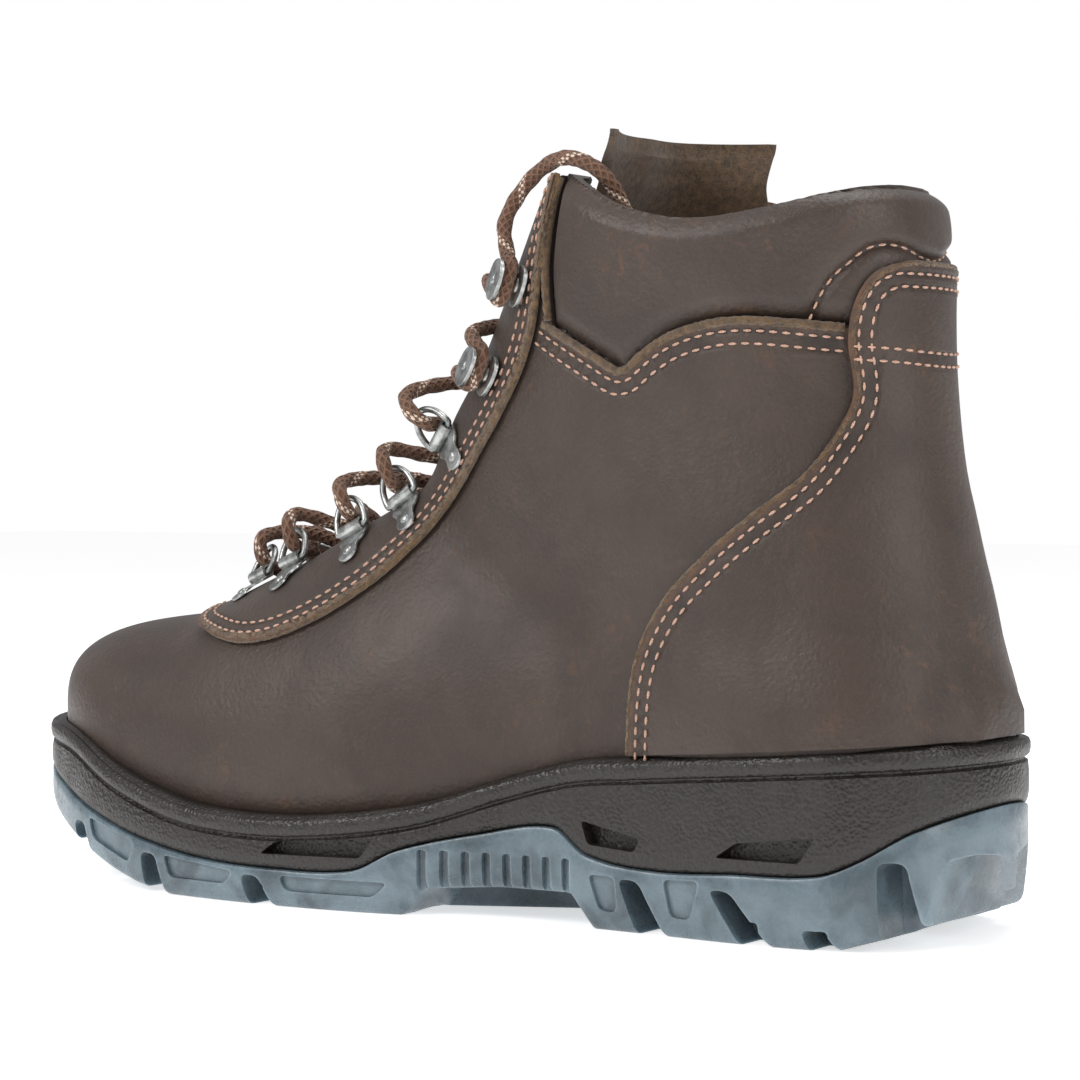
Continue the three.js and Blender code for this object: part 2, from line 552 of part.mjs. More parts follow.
/** Centre and axes of a piece of hardware on the facing; side is 1 on the outer side of the foot, -1 inside. */
function seat(index, side) {
  const place = (i) => {
    const [x, y, z] = STATIONS[i].at;
    return ontoLayer(new THREE.Vector3(side * x * KX, y * KY, z * KZ), LAYER_GAP + LEATHER);
  };
  const centre = place(index);
  const normal = gradient(centre).normalize();
  const up = place(Math.min(index + 1, STATIONS.length - 1)).sub(place(Math.max(index - 1, 0)));
  up.addScaledVector(normal, -up.dot(normal)).normalize();
  const out = new THREE.Vector3().crossVectors(up, normal).multiplyScalar(side);
  return { centre, matrix: new THREE.Matrix4().makeBasis(out, up, normal).setPosition(centre) };
}

// ---- Lace ----
// One strand from the middle of the lowest crossing, out through the rings, round the hooks, over the facing's top
// and down inside the shaft. The other strand is its mirror image and passes under it at each crossing.
const LACE_HALF = [
  [0, -67, 87.5], [7.5, -69, 87.5], [13.5, -71.5, 91], [14.5, -72, 96.5], [9, -71.5, 98.5], [0, -65.5, 98.5],
  [-12, -55.5, 93.5], [-19, -56.5, 96], [-20.5, -57, 101], [-16, -58, 104], [0, -47, 105],
  [14.5, -36, 102.5], [21.5, -35, 105], [24, -35.5, 109.5], [20, -38, 113], [0, -29, 114],
  [-12.5, -22, 111], [-19.5, -21, 113], [-22.5, -21.5, 117.5], [-18, -24.5, 122], [0, -17.5, 124],
  [16, -7, 129], [23.5, -6.5, 129], [27, -8.5, 131.5], [24.5, -12.5, 136.5], [0, -3.5, 141.5],
  [-24, 4.5, 142.5], [-28.5, 11.5, 139], [-29, 16, 146.5], [-24.5, 9.5, 152.5], [0, 9, 159],
  [24.5, 15, 166.5], [30.5, 23, 161], [31, 26.5, 169], [28.5, 24, 172], [26.5, 21.5, 181],
  [24, 25, 189.5],
];
const LACE_OUTER_END = [[22.5, 31, 195.5], [24, 40, 197.5], [22.5, 49.5, 193], [18, 54, 182.5], [19.5, 66, 150],
  [20, 77, 68], [20, 67, 53], [20, 52, 50.5]];
const LACE_INNER_END = [[-25, 31, 196], [-28.5, 40, 197], [-31.5, 50, 193], [-32, 63, 188], [-31, 76, 184.5],
  [-26, 85, 180.5], [-23, 88, 168], [-21, 89, 120], [-21, 88, 68], [-20.5, 76, 54], [-20, 60, 50.5]];
const LACE_UNDER = [[0, -65, 92.5], [0, -46, 99.5], [0, -27.5, 108.5], [0, -13.5, 120], [0, -0.5, 137], [0, 13.5, 157.5]];
const LACE_SIDES = 10;
const AGLET = { length: 22, diameter: 3.6 };

/** A smooth route with one section of tube at each of its points. */
class LaceRoute extends THREE.CatmullRomCurve3 {
  getSpacedPoints() {
    return this.points;
  }

  getTangentAt(t, target) {
    return this.getTangent(t, target);
  }
}

/** The whole lace's route, from the outer end to the inner end. */
function laceRoute() {
  const under = LACE_UNDER.values();
  const mirrored = LACE_HALF.slice(1).map(([x, y, z]) => (x === 0 ? under.next().value : [-x, y, z]));
  const points = [...LACE_OUTER_END.toReversed(), ...LACE_HALF.toReversed(), ...mirrored, ...LACE_INNER_END];
  return new LaceRoute(points.map((point) => new THREE.Vector3(...point)));
}

function lace() {
  const section = new THREE.Shape().absarc(0, 0, LACE_D / 2, 0, 2 * Math.PI);
  const route = laceRoute();
  const tube = { steps: route.points.length - 1, extrudePath: route, curveSegments: LACE_SIDES / 2 };
  return solid(new THREE.ExtrudeGeometry(section, tube));
}

/** The tip at one end of the lace; end is 0 or 1. */
function aglet(end) {
  const route = laceRoute();
  const outward = route.getTangentAt(end).multiplyScalar(end === 0 ? -1 : 1);
  const middle = route.getPointAt(end).addScaledVector(outward, LAYER_GAP + AGLET.length / 2);
  const turn = new THREE.Quaternion().setFromUnitVectors(new THREE.Vector3(0, 1, 0), outward);
  const tip = new THREE.CylinderGeometry(AGLET.diameter / 2, AGLET.diameter / 2, AGLET.length, 10);
  return tip.applyQuaternion(turn).translate(middle.x, middle.y, middle.z);
}

// ---- Materials ----
const paint = (color, roughness, metalness = 0) => new THREE.MeshStandardMaterial({ color, roughness, metalness });
const leatherPaint = () => paint(0x4d423c, 0.62);
const suedePaint = () => paint(0x4a3a26, 0.95);
const steelPaint = () => paint(0x9a9c9a, 0.35, 0.9);

const boot = new THREE.Group();

/** Adds one named piece. */
function piece(name, shape, material) {
  const geometry = shape.isBufferGeometry ? shape : geometryOf(shape);
  const mesh = new THREE.Mesh(geometry, material);
  mesh.name = name;
  boot.add(mesh);
  return mesh;
}

piece("outsole", outsole(), paint(0x6d7c84, 0.45));
piece("midsole", midsole(), paint(0x2b2724, 0.6));
piece("shank", shank(), steelPaint());
piece("insole_board", insoleBoard(), paint(0xa08a68, 0.9));
piece("steel_toe_cap", toeCap(), steelPaint());
piece("heel_stiffener", heelStiffener(), paint(0xc9bda0, 0.8));
piece("quarter_padding", padding(), paint(0x8b8b85, 0.95));
piece("lining", lining(), paint(0x3a332c, 0.95));
piece("footbed", footbed(), paint(0x26282a, 0.9));
piece("vamp_and_quarters", vampAndQuarters(), leatherPaint());
piece("collar", collar(), leatherPaint());
piece("heel_counter_panel", counter(), leatherPaint());
piece("facing", facing(), leatherPaint());
piece("tongue", tongue(), suedePaint());

for (const side of [1, -1]) {
  STATIONS.forEach(({ name, kind }, index) => {
    const { matrix } = seat(index, side);
    const label = `${side > 0 ? "outer" : "inner"}_${name}`;
    if (kind === "hook") {
      piece(`speed_hook_${label}`, hook(), steelPaint()).applyMatrix4(matrix);
      return;
    }
    piece(`ring_clip_${label}`, clip(), steelPaint()).applyMatrix4(matrix);
    piece(`lace_ring_${label}`, ring().translate(0, 0, BAR_HEIGHT), steelPaint()).applyMatrix4(matrix);
  });
}

piece("lace", lace(), paint(0x5a3c28, 0.9));
piece("aglet_outer", aglet(0), paint(0x5a4632, 0.4));
piece("aglet_inner", aglet(1), paint(0x5a4632, 0.4));

export default boot;
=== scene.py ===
"""Builds the looks of a lace-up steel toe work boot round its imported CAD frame.

Lengths are millimetres in the maths and become metres when a mesh is made.
Toe towards -Y, heel towards +Y, outer side of the left foot +X, up +Z, ground at Z = 0.
"""

import logging
import math
from dataclasses import dataclass, field
from enum import Enum
from typing import Callable, Sequence

import bmesh
import bpy
import numpy as np
from mathutils import Matrix, Vector
from mathutils.kdtree import KDTree


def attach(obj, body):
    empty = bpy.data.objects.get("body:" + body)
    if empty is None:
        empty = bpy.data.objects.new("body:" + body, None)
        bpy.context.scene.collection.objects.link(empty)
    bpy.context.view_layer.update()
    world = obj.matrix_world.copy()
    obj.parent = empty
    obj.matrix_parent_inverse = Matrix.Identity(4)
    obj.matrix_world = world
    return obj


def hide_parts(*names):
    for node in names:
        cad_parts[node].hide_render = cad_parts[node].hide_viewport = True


log = logging.getLogger("boot")
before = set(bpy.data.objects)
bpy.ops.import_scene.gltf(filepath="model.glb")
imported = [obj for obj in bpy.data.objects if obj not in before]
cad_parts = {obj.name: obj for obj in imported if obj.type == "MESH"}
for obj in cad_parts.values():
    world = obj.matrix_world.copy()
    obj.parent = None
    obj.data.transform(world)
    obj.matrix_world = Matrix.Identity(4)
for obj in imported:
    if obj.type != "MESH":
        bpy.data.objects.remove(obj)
MM = 0.001
LEATHER = 2.0
LAYER_GAP = 0.3
OVERLAY = LAYER_GAP + LEATHER
LINING_FACE = -6.6
LINING_WALL = 2.0
SMOOTH_ANGLE = math.radians(38)
SPAN = 90.0  # half the width of a cutter that passes right through the boot
FAR = 175.0  # past both ends of the boot
END = 158.0  # just past the toe and the heel
COARSE = (120, 90)
MEDIUM = (150, 110)
FINE = (250, 190)
UNMARKED = 12.0  # stored as the distance from an edge or a row that a piece doesn't have

Curve = Callable[[np.ndarray], np.ndarray]
Value = bpy.types.NodeSocket | float | tuple


# ---------------------------------------------------------------- curves
def profile(*pairs: tuple[float, float]) -> Curve:
    """A smooth curve through (a, b) pairs, held level past its ends.

    Args:
        pairs: points in rising order of a.

    Returns:
        A function from a to b.
    """
    a, b = (np.array(v, float) for v in zip(*pairs))
    before = np.maximum(np.arange(len(a)) - 1, 0)
    after = np.minimum(np.arange(len(a)) + 1, len(a) - 1)
    slope = (b[after] - b[before]) / (a[after] - a[before])

    def read(value: np.ndarray) -> np.ndarray:
        """Reads the curve at values."""
        v = np.clip(value, a[0], a[-1])
        i = np.clip(np.searchsorted(a, v, side="right") - 1, 0, len(a) - 2)
        width = a[i + 1] - a[i]
        t = (v - a[i]) / width
        rise = t * t * (3 - 2 * t)
        start = t * (1 - t) ** 2 * width * slope[i]
        end = t * t * (t - 1) * width * slope[i + 1]
        return b[i] * (1 - rise) + b[i + 1] * rise + start + end

    return read


def smoothstep(v: np.ndarray, low: float, high: float) -> np.ndarray:
    """Rises smoothly from 0 at low to 1 at high.

    Args:
        v: values.
        low: where the rise starts.
        high: where it ends.

    Returns:
        Shares from 0 to 1.
    """
    t = np.clip((v - low) / (high - low), 0, 1)
    return t * t * (3 - 2 * t)


def spline(points: Sequence[Sequence[float]], spacing: float, closed: bool = False) -> np.ndarray:
    """A smooth line through points, sampled at an even spacing.

    Args:
        points: corners in order, of any dimension.
        spacing: distance between the samples.
        closed: whether the line runs back to its start.

    Returns:
        The samples as rows; a closed line doesn't repeat its first one.
    """
    p = np.array(points, float)
    ring = np.vstack([p[-1], p, p[0], p[1]]) if closed else np.vstack([2 * p[0] - p[1], p, 2 * p[-1] - p[-2]])
    fine = []
    for a, b, c, d in zip(ring[:-3], ring[1:-2], ring[2:-1], ring[3:]):
        gaps = [max(np.linalg.norm(v - u), 1e-6) ** 0.5 for u, v in ((a, b), (b, c), (c, d))]
        knots = np.cumsum([0.0] + gaps)
        t = np.linspace(knots[1], knots[2], 24, endpoint=False)[:, None]

        def mix(u: np.ndarray, v: np.ndarray, i: int, j: int) -> np.ndarray:
            """A blend from u at knot i to v at knot j."""
            return ((knots[j] - t) * u + (t - knots[i]) * v) / (knots[j] - knots[i])

        ab, bc, cd = mix(a, b, 0, 1), mix(b, c, 1, 2), mix(c, d, 2, 3)
        fine.append(mix(mix(ab, bc, 0, 2), mix(bc, cd, 1, 3), 1, 2))
    line = np.vstack(fine + [p[:1] if closed else p[-1:]])
    return even(line, spacing, closed)


def even(line: np.ndarray, spacing: float, closed: bool = False) -> np.ndarray:
    """The same line with evenly spaced points.

    Args:
        line: points in order.
        spacing: distance between the new points, about.
        closed: whether the line runs back to its start.

    Returns:
        The new points.
    """
    run = np.concatenate([[0], np.cumsum(np.linalg.norm(np.diff(line, axis=0), axis=1))])
    count = max(int(round(run[-1] / spacing)), 2)
    at = np.linspace(0, run[-1], count + 1)
    if closed:
        at = at[:-1]
    return np.stack([np.interp(at, run, column) for column in line.T], axis=1)


# ---------------------------------------------------------------- the last
@dataclass
class Last:
    """The foot's shape as one smooth field; zero is the outer face of the upper leather."""

    toe: float = -146.5
    cap_start: float = -97.0
    heel_start: float = 70.0
    heel_round: float = 75.0
    lower_half: float = 16.0
    undercut: float = 34.0
    blend: float = 16.0
    bottom_blend: float = 5.0
    middle: float = 15.0
    fan_centre: tuple[float, float] = (-25.0, 150.0)
    spine: float = 88.0
    toe_centre: tuple[float, float] = (-97.0, 44.0)
    spine_top: float = 206.0

    def __post_init__(self) -> None:
        """Sets the smooth curves that give the last its widths and heights."""
        self.outer_half = profile((-150, 44), (-110, 46), (-60, 50), (-25, 49.5), (10, 43), (45, 37),
                                  (80, 36),
                                  (120, 34))
        self.inner_half = profile((-150, 44), (-110, 46.5), (-70, 49.5), (-40, 48), (0, 38), (40, 33),
                                  (80, 34.5),
                                  (120, 33))
        self.ridge = profile((-150, 74.5), (-118, 74), (-100, 75), (-85, 77.5), (-67, 85), (-50, 93),
                             (-34, 102),
                             (-18, 111), (0, 117), (25, 113), (60, 95), (110, 72))
        self.fullness = profile((-150, 2.5), (-110, 2.4), (-70, 2.15), (-30, 1.9), (20, 1.9), (110, 2.2))
        self.bottom = profile((-150, 36), (-120, 29.5), (-95, 23.5), (-69, 18.5), (-44, 16.5), (-20, 17.5),
                              (7, 21), (32, 28), (51, 33), (75, 35.5), (150, 37.5))
        self.shaft_back = profile((20, 147), (53, 148.7), (63, 147.8), (73, 146), (84, 144), (94, 141.6),
                                  (104, 139.5), (114, 137.3), (124, 136), (140, 134.5), (150, 134),
                                  (165, 133.5),
                                  (178, 133), (186, 130.5), (196, 124))
        self.shaft_front = profile((20, 70), (50, 60), (75, 38), (100, 10), (118, -2.5), (130, -3.5),
                                   (145, 4),
                                   (166, 15), (192, 28), (200, 30))
        self.shaft_half = profile((20, 33), (40, 36), (55, 37), (80, 36.5), (105, 36), (130, 34), (150, 34),
                                  (170, 36.5), (185, 37.5), (200, 35))
        self.shaft_fullness = profile((20, 2.5), (80, 2.35), (130, 2.25), (200, 2.3))

    @staticmethod
    def rounded(share: np.ndarray, power: float) -> np.ndarray:
        """Height of a rounded end: 1 well inside, 0 at the very end."""
        return (1 - np.clip(share, 0, 0.9999) ** power) ** (1 / power)

    def foot(self, x: np.ndarray, y: np.ndarray, z: np.ndarray) -> np.ndarray:
        """The field of the foot alone.

        Args:
            x, y, z: places, in arrays of one shape.

        Returns:
            The field, below 0 inside.
        """
        toe = (self.cap_start - y) / (self.cap_start - self.toe)
        heel = self.rounded((y - self.heel_start) / self.heel_round, 2.4)
        girth = self.bottom(y) + self.lower_half
        above = (self.ridge(y) - girth) * self.rounded(toe, 2.6) * heel
        on_top = smoothstep((z - girth) / above, 0.25, 0.75)
        share = smoothstep(x, -self.middle, self.middle) * (1 - on_top) + 0.5 * on_top
        wide = self.inner_half(y) * (1 - share) + self.outer_half(y) * share
        half = wide * self.rounded(toe, 2.35) * heel
        inward = np.clip((-y - 60) / 90, 0, 1)
        across = np.abs(x + 7 * inward * inward) / half
        along = np.where(z > girth, (z - girth) / above, (girth - z) / self.undercut)
        power = self.fullness(y)
        value = ((across**power + along**power) ** (1 / power) - 1) * np.minimum(half, above) * 0.95
        past = np.maximum(y - self.heel_start - self.heel_round, self.toe - y)
        return np.maximum(value, past)

    def shaft(self, x: np.ndarray, y: np.ndarray, z: np.ndarray) -> np.ndarray:
        """The field of the ankle shaft alone.

        Args:
            x, y, z: places, in arrays of one shape.

        Returns:
            The field, below 0 inside.
        """
        back, front, half = self.shaft_back(z), self.shaft_front(z), self.shaft_half(z)
        long = (back - front) / 2
        power = self.shaft_fullness(z)
        around = (np.abs(x) / half) ** power + (np.abs(y - (back + front) / 2) / long) ** power
        return (around ** (1 / power) - 1) * np.minimum(long, half)

    @staticmethod
    def soft_min(a: np.ndarray, b: np.ndarray, width: float) -> np.ndarray:
        """The lower of two fields, blended over a width."""
        share = np.clip(0.5 + 0.5 * (b - a) / width, 0, 1)
        return b + (a - b) * share - width * share * (1 - share)

    def field(self, p: np.ndarray) -> np.ndarray:
        """Below 0 inside the foot, above 0 outside."""
        x, y, z = p[..., 0], p[..., 1], p[..., 2]
        body = self.soft_min(self.foot(x, y, z), self.shaft(x, y, z), self.blend)
        return -self.soft_min(-body, z - self.bottom(y), self.bottom_blend)

    def gradient(self, p: np.ndarray, probe: float = 0.5) -> np.ndarray:
        """The field's slope at points."""
        step = np.eye(3) * probe
        return np.stack([self.field(p + s) - self.field(p - s) for s in step], axis=-1) / (2 * probe)

    def normal(self, p: np.ndarray) -> np.ndarray:
        """Unit normals of the layers at points."""
        g = self.gradient(p)
        return g / np.linalg.norm(g, axis=-1, keepdims=True)

    def onto(self, p: np.ndarray, level: np.ndarray | float, rounds: int = 5) -> np.ndarray:
        """Moves points straight onto a layer, level millimetres outside the leather's outer face.

        Args:
            p: points near the layer.
            level: the layer, or one for each point.
            rounds: how many times they are corrected.

        Returns:
            The moved points.
        """
        for _ in range(rounds):
            g = self.gradient(p)
            size = np.maximum(np.linalg.norm(g, axis=-1), 0.3)
            p = p + g / size[..., None] ** 2 * (level * size - self.field(p))[..., None]
        return p

    def first(self, start: np.ndarray, way: np.ndarray, reach: float) -> np.ndarray:
        """Where rays from inside first leave the leather's outer face.

        Args:
            start: where the rays start.
            way: their directions, one long.
            reach: how far they are followed.

        Returns:
            The points where they leave.
        """
        r = np.zeros(start.shape[:-1])
        low, high, done = r.copy(), np.full_like(r, reach), np.zeros(r.shape, bool)
        for _ in range(int(reach / 5)):
            r = r + 5
            out = self.field(start + way * r[..., None]) > 0
            high = np.where(out & ~done, r, high)
            low = np.where(~out & ~done, r, low)
            done |= out
            if done.all():
                break
        for _ in range(12):
            middle = (low + high) / 2
            inside = self.field(start + way * middle[..., None]) <= 0
            low, high = np.where(inside, middle, low), np.where(inside, high, middle)
        return start + way * ((low + high) / 2)[..., None]

    def ray(self, s: np.ndarray, t: np.ndarray) -> tuple[np.ndarray, np.ndarray]:
        """Start and direction of the ray at s along the boot (0 toe, 2 instep, 3 ankle, 4 top), t around.

        Args:
            s: place along the boot.
            t: angle round it, 0 at the top or front.

        Returns:
            Starts and directions.
        """
        toe = np.clip(s, 0, 1) * math.pi / 2
        run = np.clip(s - 1, 0, 1)
        bend = np.clip(s - 2, 0, 1) * math.pi / 2
        climb = np.clip(s - 3, 0, 1)
        (fy, fz), (ty, tz) = self.fan_centre, self.toe_centre
        y = np.where(s < 2, ty + (fy - ty) * run, fy + self.spine * np.sin(bend))
        z = np.where(s < 2, tz + (fz - self.spine - tz) * run,
                     fz - self.spine * np.cos(bend) + climb * (self.spine_top - fz))
        side, up = np.sin(toe) * np.sin(t), np.sin(toe) * np.cos(t)
        way = np.stack([side, -np.cos(bend) * np.cos(toe) - np.sin(bend) * up,
                        -np.sin(bend) * np.cos(toe) + np.cos(bend) * up], axis=-1)
        return np.stack([np.zeros_like(way[..., 0]), y + 0 * side, z + 0 * side], axis=-1), way

    def skin(self, s: np.ndarray, t: np.ndarray) -> np.ndarray:
        """Points of the leather's outer face at s and t."""
        start, way = self.ray(*np.broadcast_arrays(s, t))
        return self.first(start, way, 260.0)

    def depth(self, p: np.ndarray) -> np.ndarray:
        """Distance of points outside the leather's outer face."""
        return self.field(p) / np.maximum(np.linalg.norm(self.gradient(p), axis=-1), 0.3)

    def layer(self, s: np.ndarray, t: np.ndarray, level: np.ndarray) -> np.ndarray:
        """Points where the rays at s and t first leave a layer.

        Args:
            s: place along the boot.
            t: angle round it.
            level: the layer, for each ray.

        Returns:
            The points.
        """
        start, way = self.ray(*np.broadcast_arrays(s, t))
        low, high = np.zeros(start.shape[:-1]), np.full(start.shape[:-1], 4.0)
        for _ in range(64):
            inside = self.depth(start + way * high[..., None]) < level
            low, high = np.where(inside, high, low), np.where(inside, high + 4, high)
            if not inside.any():
                break
        for _ in range(14):
            middle = (low + high) / 2
            inside = self.depth(start + way * middle[..., None]) < level
            low, high = np.where(inside, middle, low), np.where(inside, high, middle)
        return start + way * ((low + high) / 2)[..., None]

    def near(self, skin: np.ndarray, way: np.ndarray, level: np.ndarray | float) -> np.ndarray:
        """Where rays through skin points cross a layer close to the skin.

        Args:
            skin: points of the outer face.
            way: directions of their rays.
            level: the layer.

        Returns:
            The points.
        """
        low, high = np.full(skin.shape[:-1], -14.0), np.full(skin.shape[:-1], 8.0)
        for _ in range(11):
            middle = (low + high) / 2
            inside = self.depth(skin + way * middle[..., None]) < level
            low, high = np.where(inside, middle, low), np.where(inside, high, middle)
        return skin + way * ((low + high) / 2)[..., None]

    def beside(self, line: np.ndarray, side: float, level: float) -> np.ndarray:
        """A side view line [y, z] laid on a layer of the outer (1) or inner (-1) side.

        Args:
            line: rows [y, z].
            side: 1 for the outer side, -1 for the inner one.
            level: the layer.

        Returns:
            The laid points [x, y, z].
        """
        start = np.column_stack([np.zeros(len(line)), line])
        way = np.zeros_like(start)
        way[:, 0] = side
        p = self.first(start, way, 90.0)
        for _ in range(4):
            p = self.onto(p, level, 1)
            keep = self.normal(p)
            p[:, 0] += ((p[:, 1] - line[:, 0]) * keep[:, 1] + (p[:, 2] - line[:, 1]) * keep[:, 2]) / np.where(
                np.abs(keep[:, 0]) > 0.3, keep[:, 0], side)
            p[:, 1:] = line
        return p


LAST = Last()
STATIONS = [(15, -69.5, 83.5), (19.5, -54.5, 89), (21, -32, 98.5), (20, -18, 109), (20.5, -1.5, 125),
            (24, 14.5, 143), (25.5, 26, 165.5)]
RING_COUNT = 5

# Side view outlines, [y, z].
SEAM_FRONT = [(39.5, 152.5), (52.7, 145.7), (61, 141.2)]
SEAM_REAR = [(63.5, 141.2), (68.3, 145), (75.8, 149.3), (86, 152.3), (97, 153.3), (120, 151.2), (134, 148),
             (152, 147)]
COLLAR_TOP = [(39, 193.5), (48, 189.5), (62, 183), (83, 179), (103, 181), (123, 186), (136, 189), (150, 190)]
FACING_EDGE = [(-93, 80), (-83, 74), (-74, 71.8), (-59, 69.7), (-46, 71.5), (-31, 77.8), (-17.3, 87),
               (-9, 95.5),
               (-0.8, 105.7), (10.8, 119), (21.5, 132), (28, 142.4), (32.7, 155)]
FACING_TOP = [(35.2, 171), (37.5, 193)]
COUNTER_EDGE = [(67, 30), (68, 45), (72, 71), (79, 84), (89, 94), (102, 105), (113, 114), (119.5, 124),
                (123.5, 134), (122.5, 148), (124, 157), (128, 164.5), (133, 167.5)]
THROAT = [(0, -1), (5.5, 1), (8.5, 8), (13, 24), (15.5, 47), (16.5, 66), (17.5, 89), (18, 111), (18, 135),
          (17.5, 175)]
FEATHER = profile((-158, 45), (-140, 44), (-118, 42), (-95, 33), (-69, 26), (-44, 24), (-20, 25), (7, 29),
                  (32, 37),
                  (51, 42), (70, 44), (107, 47), (134, 49), (158, 50.5))
PARTING = profile((-158, 35), (-126, 26.5), (-109, 21), (-86, 15), (-60, 11), (-36, 10), (-10, 11), (3, 17),
                  (24, 22), (46, 25), (56, 18.5), (76, 16), (99, 17), (122, 18), (132, 22), (143, 29),
                  (158, 36))
GROUND = [(-158, 27), (-140, 20.5), (-124, 14.5), (-109, 9), (-97, 5), (-86, 2), (-72, 0), (4, 0), (9, 7),
          (30, 8.5), (51, 8.5), (58, 0), (126, 0), (141, 4.5), (152, 9.5), (158, 15)]
PLAN = [(-8, -155), (14, -150), (33, -135), (47, -110), (54, -80), (56, -42), (52, -5), (44, 22), (41, 45),
        (41, 75),
        (41.5, 102), (38, 128), (27, 146), (0, 155), (-27, 146), (-38, 128), (-41, 102), (-39, 72), (-37, 42),
        (-40, 8), (-49, -25), (-56, -58), (-55, -90), (-49, -118), (-34, -142)]


# ---------------------------------------------------------------- meshes
def link(name: str, mesh: bpy.types.Mesh) -> bpy.types.Object:
    """Puts a mesh in the scene as an object at the origin."""
    made = bpy.data.objects.new(name, mesh)
    bpy.context.scene.collection.objects.link(made)
    return made


def smooth_faces(mesh: bpy.types.Mesh, angle: float = SMOOTH_ANGLE) -> None:
    """Shades a mesh smooth, with sharp edges over an angle."""
    mesh.shade_smooth()
    mesh.set_sharp_from_angle(angle=angle)


def from_bmesh(name: str, bm: bmesh.types.BMesh, angle: float = SMOOTH_ANGLE) -> bpy.types.Object:
    """Turns a bmesh in millimetres into an object and frees it."""
    bmesh.ops.scale(bm, vec=(MM, MM, MM), verts=bm.verts)
    mesh = bpy.data.meshes.new(name)
    bm.to_mesh(mesh)
    bm.free()
    smooth_faces(mesh, angle)
    return link(name, mesh)


def surface(name: str, points: np.ndarray, around: bool = False, along: bool = False, capped: bool = False,
          uv: np.ndarray | None = None) -> bpy.types.Object:
    """A smooth surface through a table of points.

    Args:
        name: the object's name.
        points: rows and columns of points in millimetres.
        around: whether the last column joins the first.
        along: whether the last row joins the first.
        capped: whether open ends are closed with a face.
        uv: texture places for the points, in millimetres; rows and columns by default.

    Returns:
        The new object, with its faces pointing out where it is closed.
    """
    rows, columns = points.shape[:2]
    if uv is None:
        uv = np.stack(np.meshgrid(np.arange(columns), np.arange(rows)), axis=-1).astype(float)
    if around:
        points = np.concatenate([points, points[:, :1]], 1)
        uv = np.concatenate([uv, 2 * uv[:, -1:] - uv[:, -2:-1]], 1)
    if along:
        points = np.concatenate([points, points[:1]], 0)
        uv = np.concatenate([uv, 2 * uv[-1:] - uv[-2:-1]], 0)
    rows, columns = points.shape[:2]
    bm = bmesh.new()
    bmesh.ops.create_grid(bm, x_segments=columns - 1, y_segments=rows - 1, size=1.0)
    layer = bm.loops.layers.uv.new("UVMap")
    low = min(v.co.x for v in bm.verts)
    place = {}
    for v in bm.verts:
        i = round((v.co.x - low) / (-2 * low) * (columns - 1))
        j = round((v.co.y - low) / (-2 * low) * (rows - 1))
        place[v.index] = (j, i)
    bm.verts.ensure_lookup_table()
    for v in bm.verts:
        v.co = points[place[v.index]]
    for face in bm.faces:
        for corner in face.loops:
            corner[layer].uv = uv[place[corner.vert.index]] * MM
    bmesh.ops.remove_doubles(bm, verts=bm.verts, dist=1e-4)
    if capped:
        bmesh.ops.holes_fill(bm, edges=[e for e in bm.edges if e.is_boundary], sides=0)
    bmesh.ops.recalc_face_normals(bm, faces=bm.faces)
    return from_bmesh(name, bm)


def prism(outline: Sequence[Sequence[float]], low: float, high: float,
          axes: Matrix | None = None) -> bpy.types.Object:
    """A straight solid over an outline.

    Args:
        outline: corners [y, z] in side view, or [a, b] in the plane of axes.
        low: where the solid starts across the outline.
        high: where it ends.
        axes: turns (a, b, across) into place; side view by default.

    Returns:
        The solid, named "cutter".
    """
    turn = axes or Matrix(((0, 0, 1), (1, 0, 0), (0, 1, 0))).to_4x4()
    bm = bmesh.new()
    face = bm.faces.new([bm.verts.new((a, b, low)) for a, b in outline])
    grown = bmesh.ops.extrude_face_region(bm, geom=[face])["geom"]
    moved = [g for g in grown if isinstance(g, bmesh.types.BMVert)]
    bmesh.ops.translate(bm, vec=(0, 0, high - low), verts=moved)
    bmesh.ops.transform(bm, matrix=turn, verts=bm.verts)
    bmesh.ops.recalc_face_normals(bm, faces=bm.faces)
    return from_bmesh("cutter", bm)


class Cut(Enum):
    """How a cutter shapes a piece."""

    KEEP = "INTERSECT"
    AWAY = "DIFFERENCE"


def settle(piece: bpy.types.Object) -> None:
    """Makes a piece's modifiers part of its mesh."""
    bpy.context.view_layer.update()
    seen = piece.evaluated_get(bpy.context.evaluated_depsgraph_get())
    old, piece.data = piece.data, bpy.data.meshes.new_from_object(seen)
    piece.modifiers.clear()
    bpy.data.meshes.remove(old)


def carve(piece: bpy.types.Object, how: Cut, *cutters: bpy.types.Object,
          keep: bool = False) -> bpy.types.Object:
    """Cuts a closed piece with closed cutters, and removes them unless they are kept.

    Args:
        piece: a closed piece.
        how: whether what the cutters hold is kept or taken away.
        cutters: closed pieces.
        keep: leaves the cutters in the scene.

    Returns:
        The piece.
    """
    for cutter in cutters:
        step = piece.modifiers.new("cut", "BOOLEAN")
        step.operation, step.solver, step.object = how.value, "MANIFOLD", cutter
    settle(piece)
    if not keep:
        for cutter in cutters:
            bpy.data.objects.remove(cutter)
    smooth_faces(piece.data)
    return piece


def join(name: str, pieces: Sequence[bpy.types.Object]) -> bpy.types.Object:
    """Joins pieces into one, keeping the first one's material.

    Args:
        name: the new piece's name.
        pieces: what it is made from; they are removed.

    Returns:
        The new piece, without a material.
    """
    bm = bmesh.new()
    for one in pieces:
        bm.from_mesh(one.data)
        bpy.data.objects.remove(one)
    mesh = bpy.data.meshes.new(name)
    bm.to_mesh(mesh)
    bm.free()
    smooth_faces(mesh)
    return link(name, mesh)


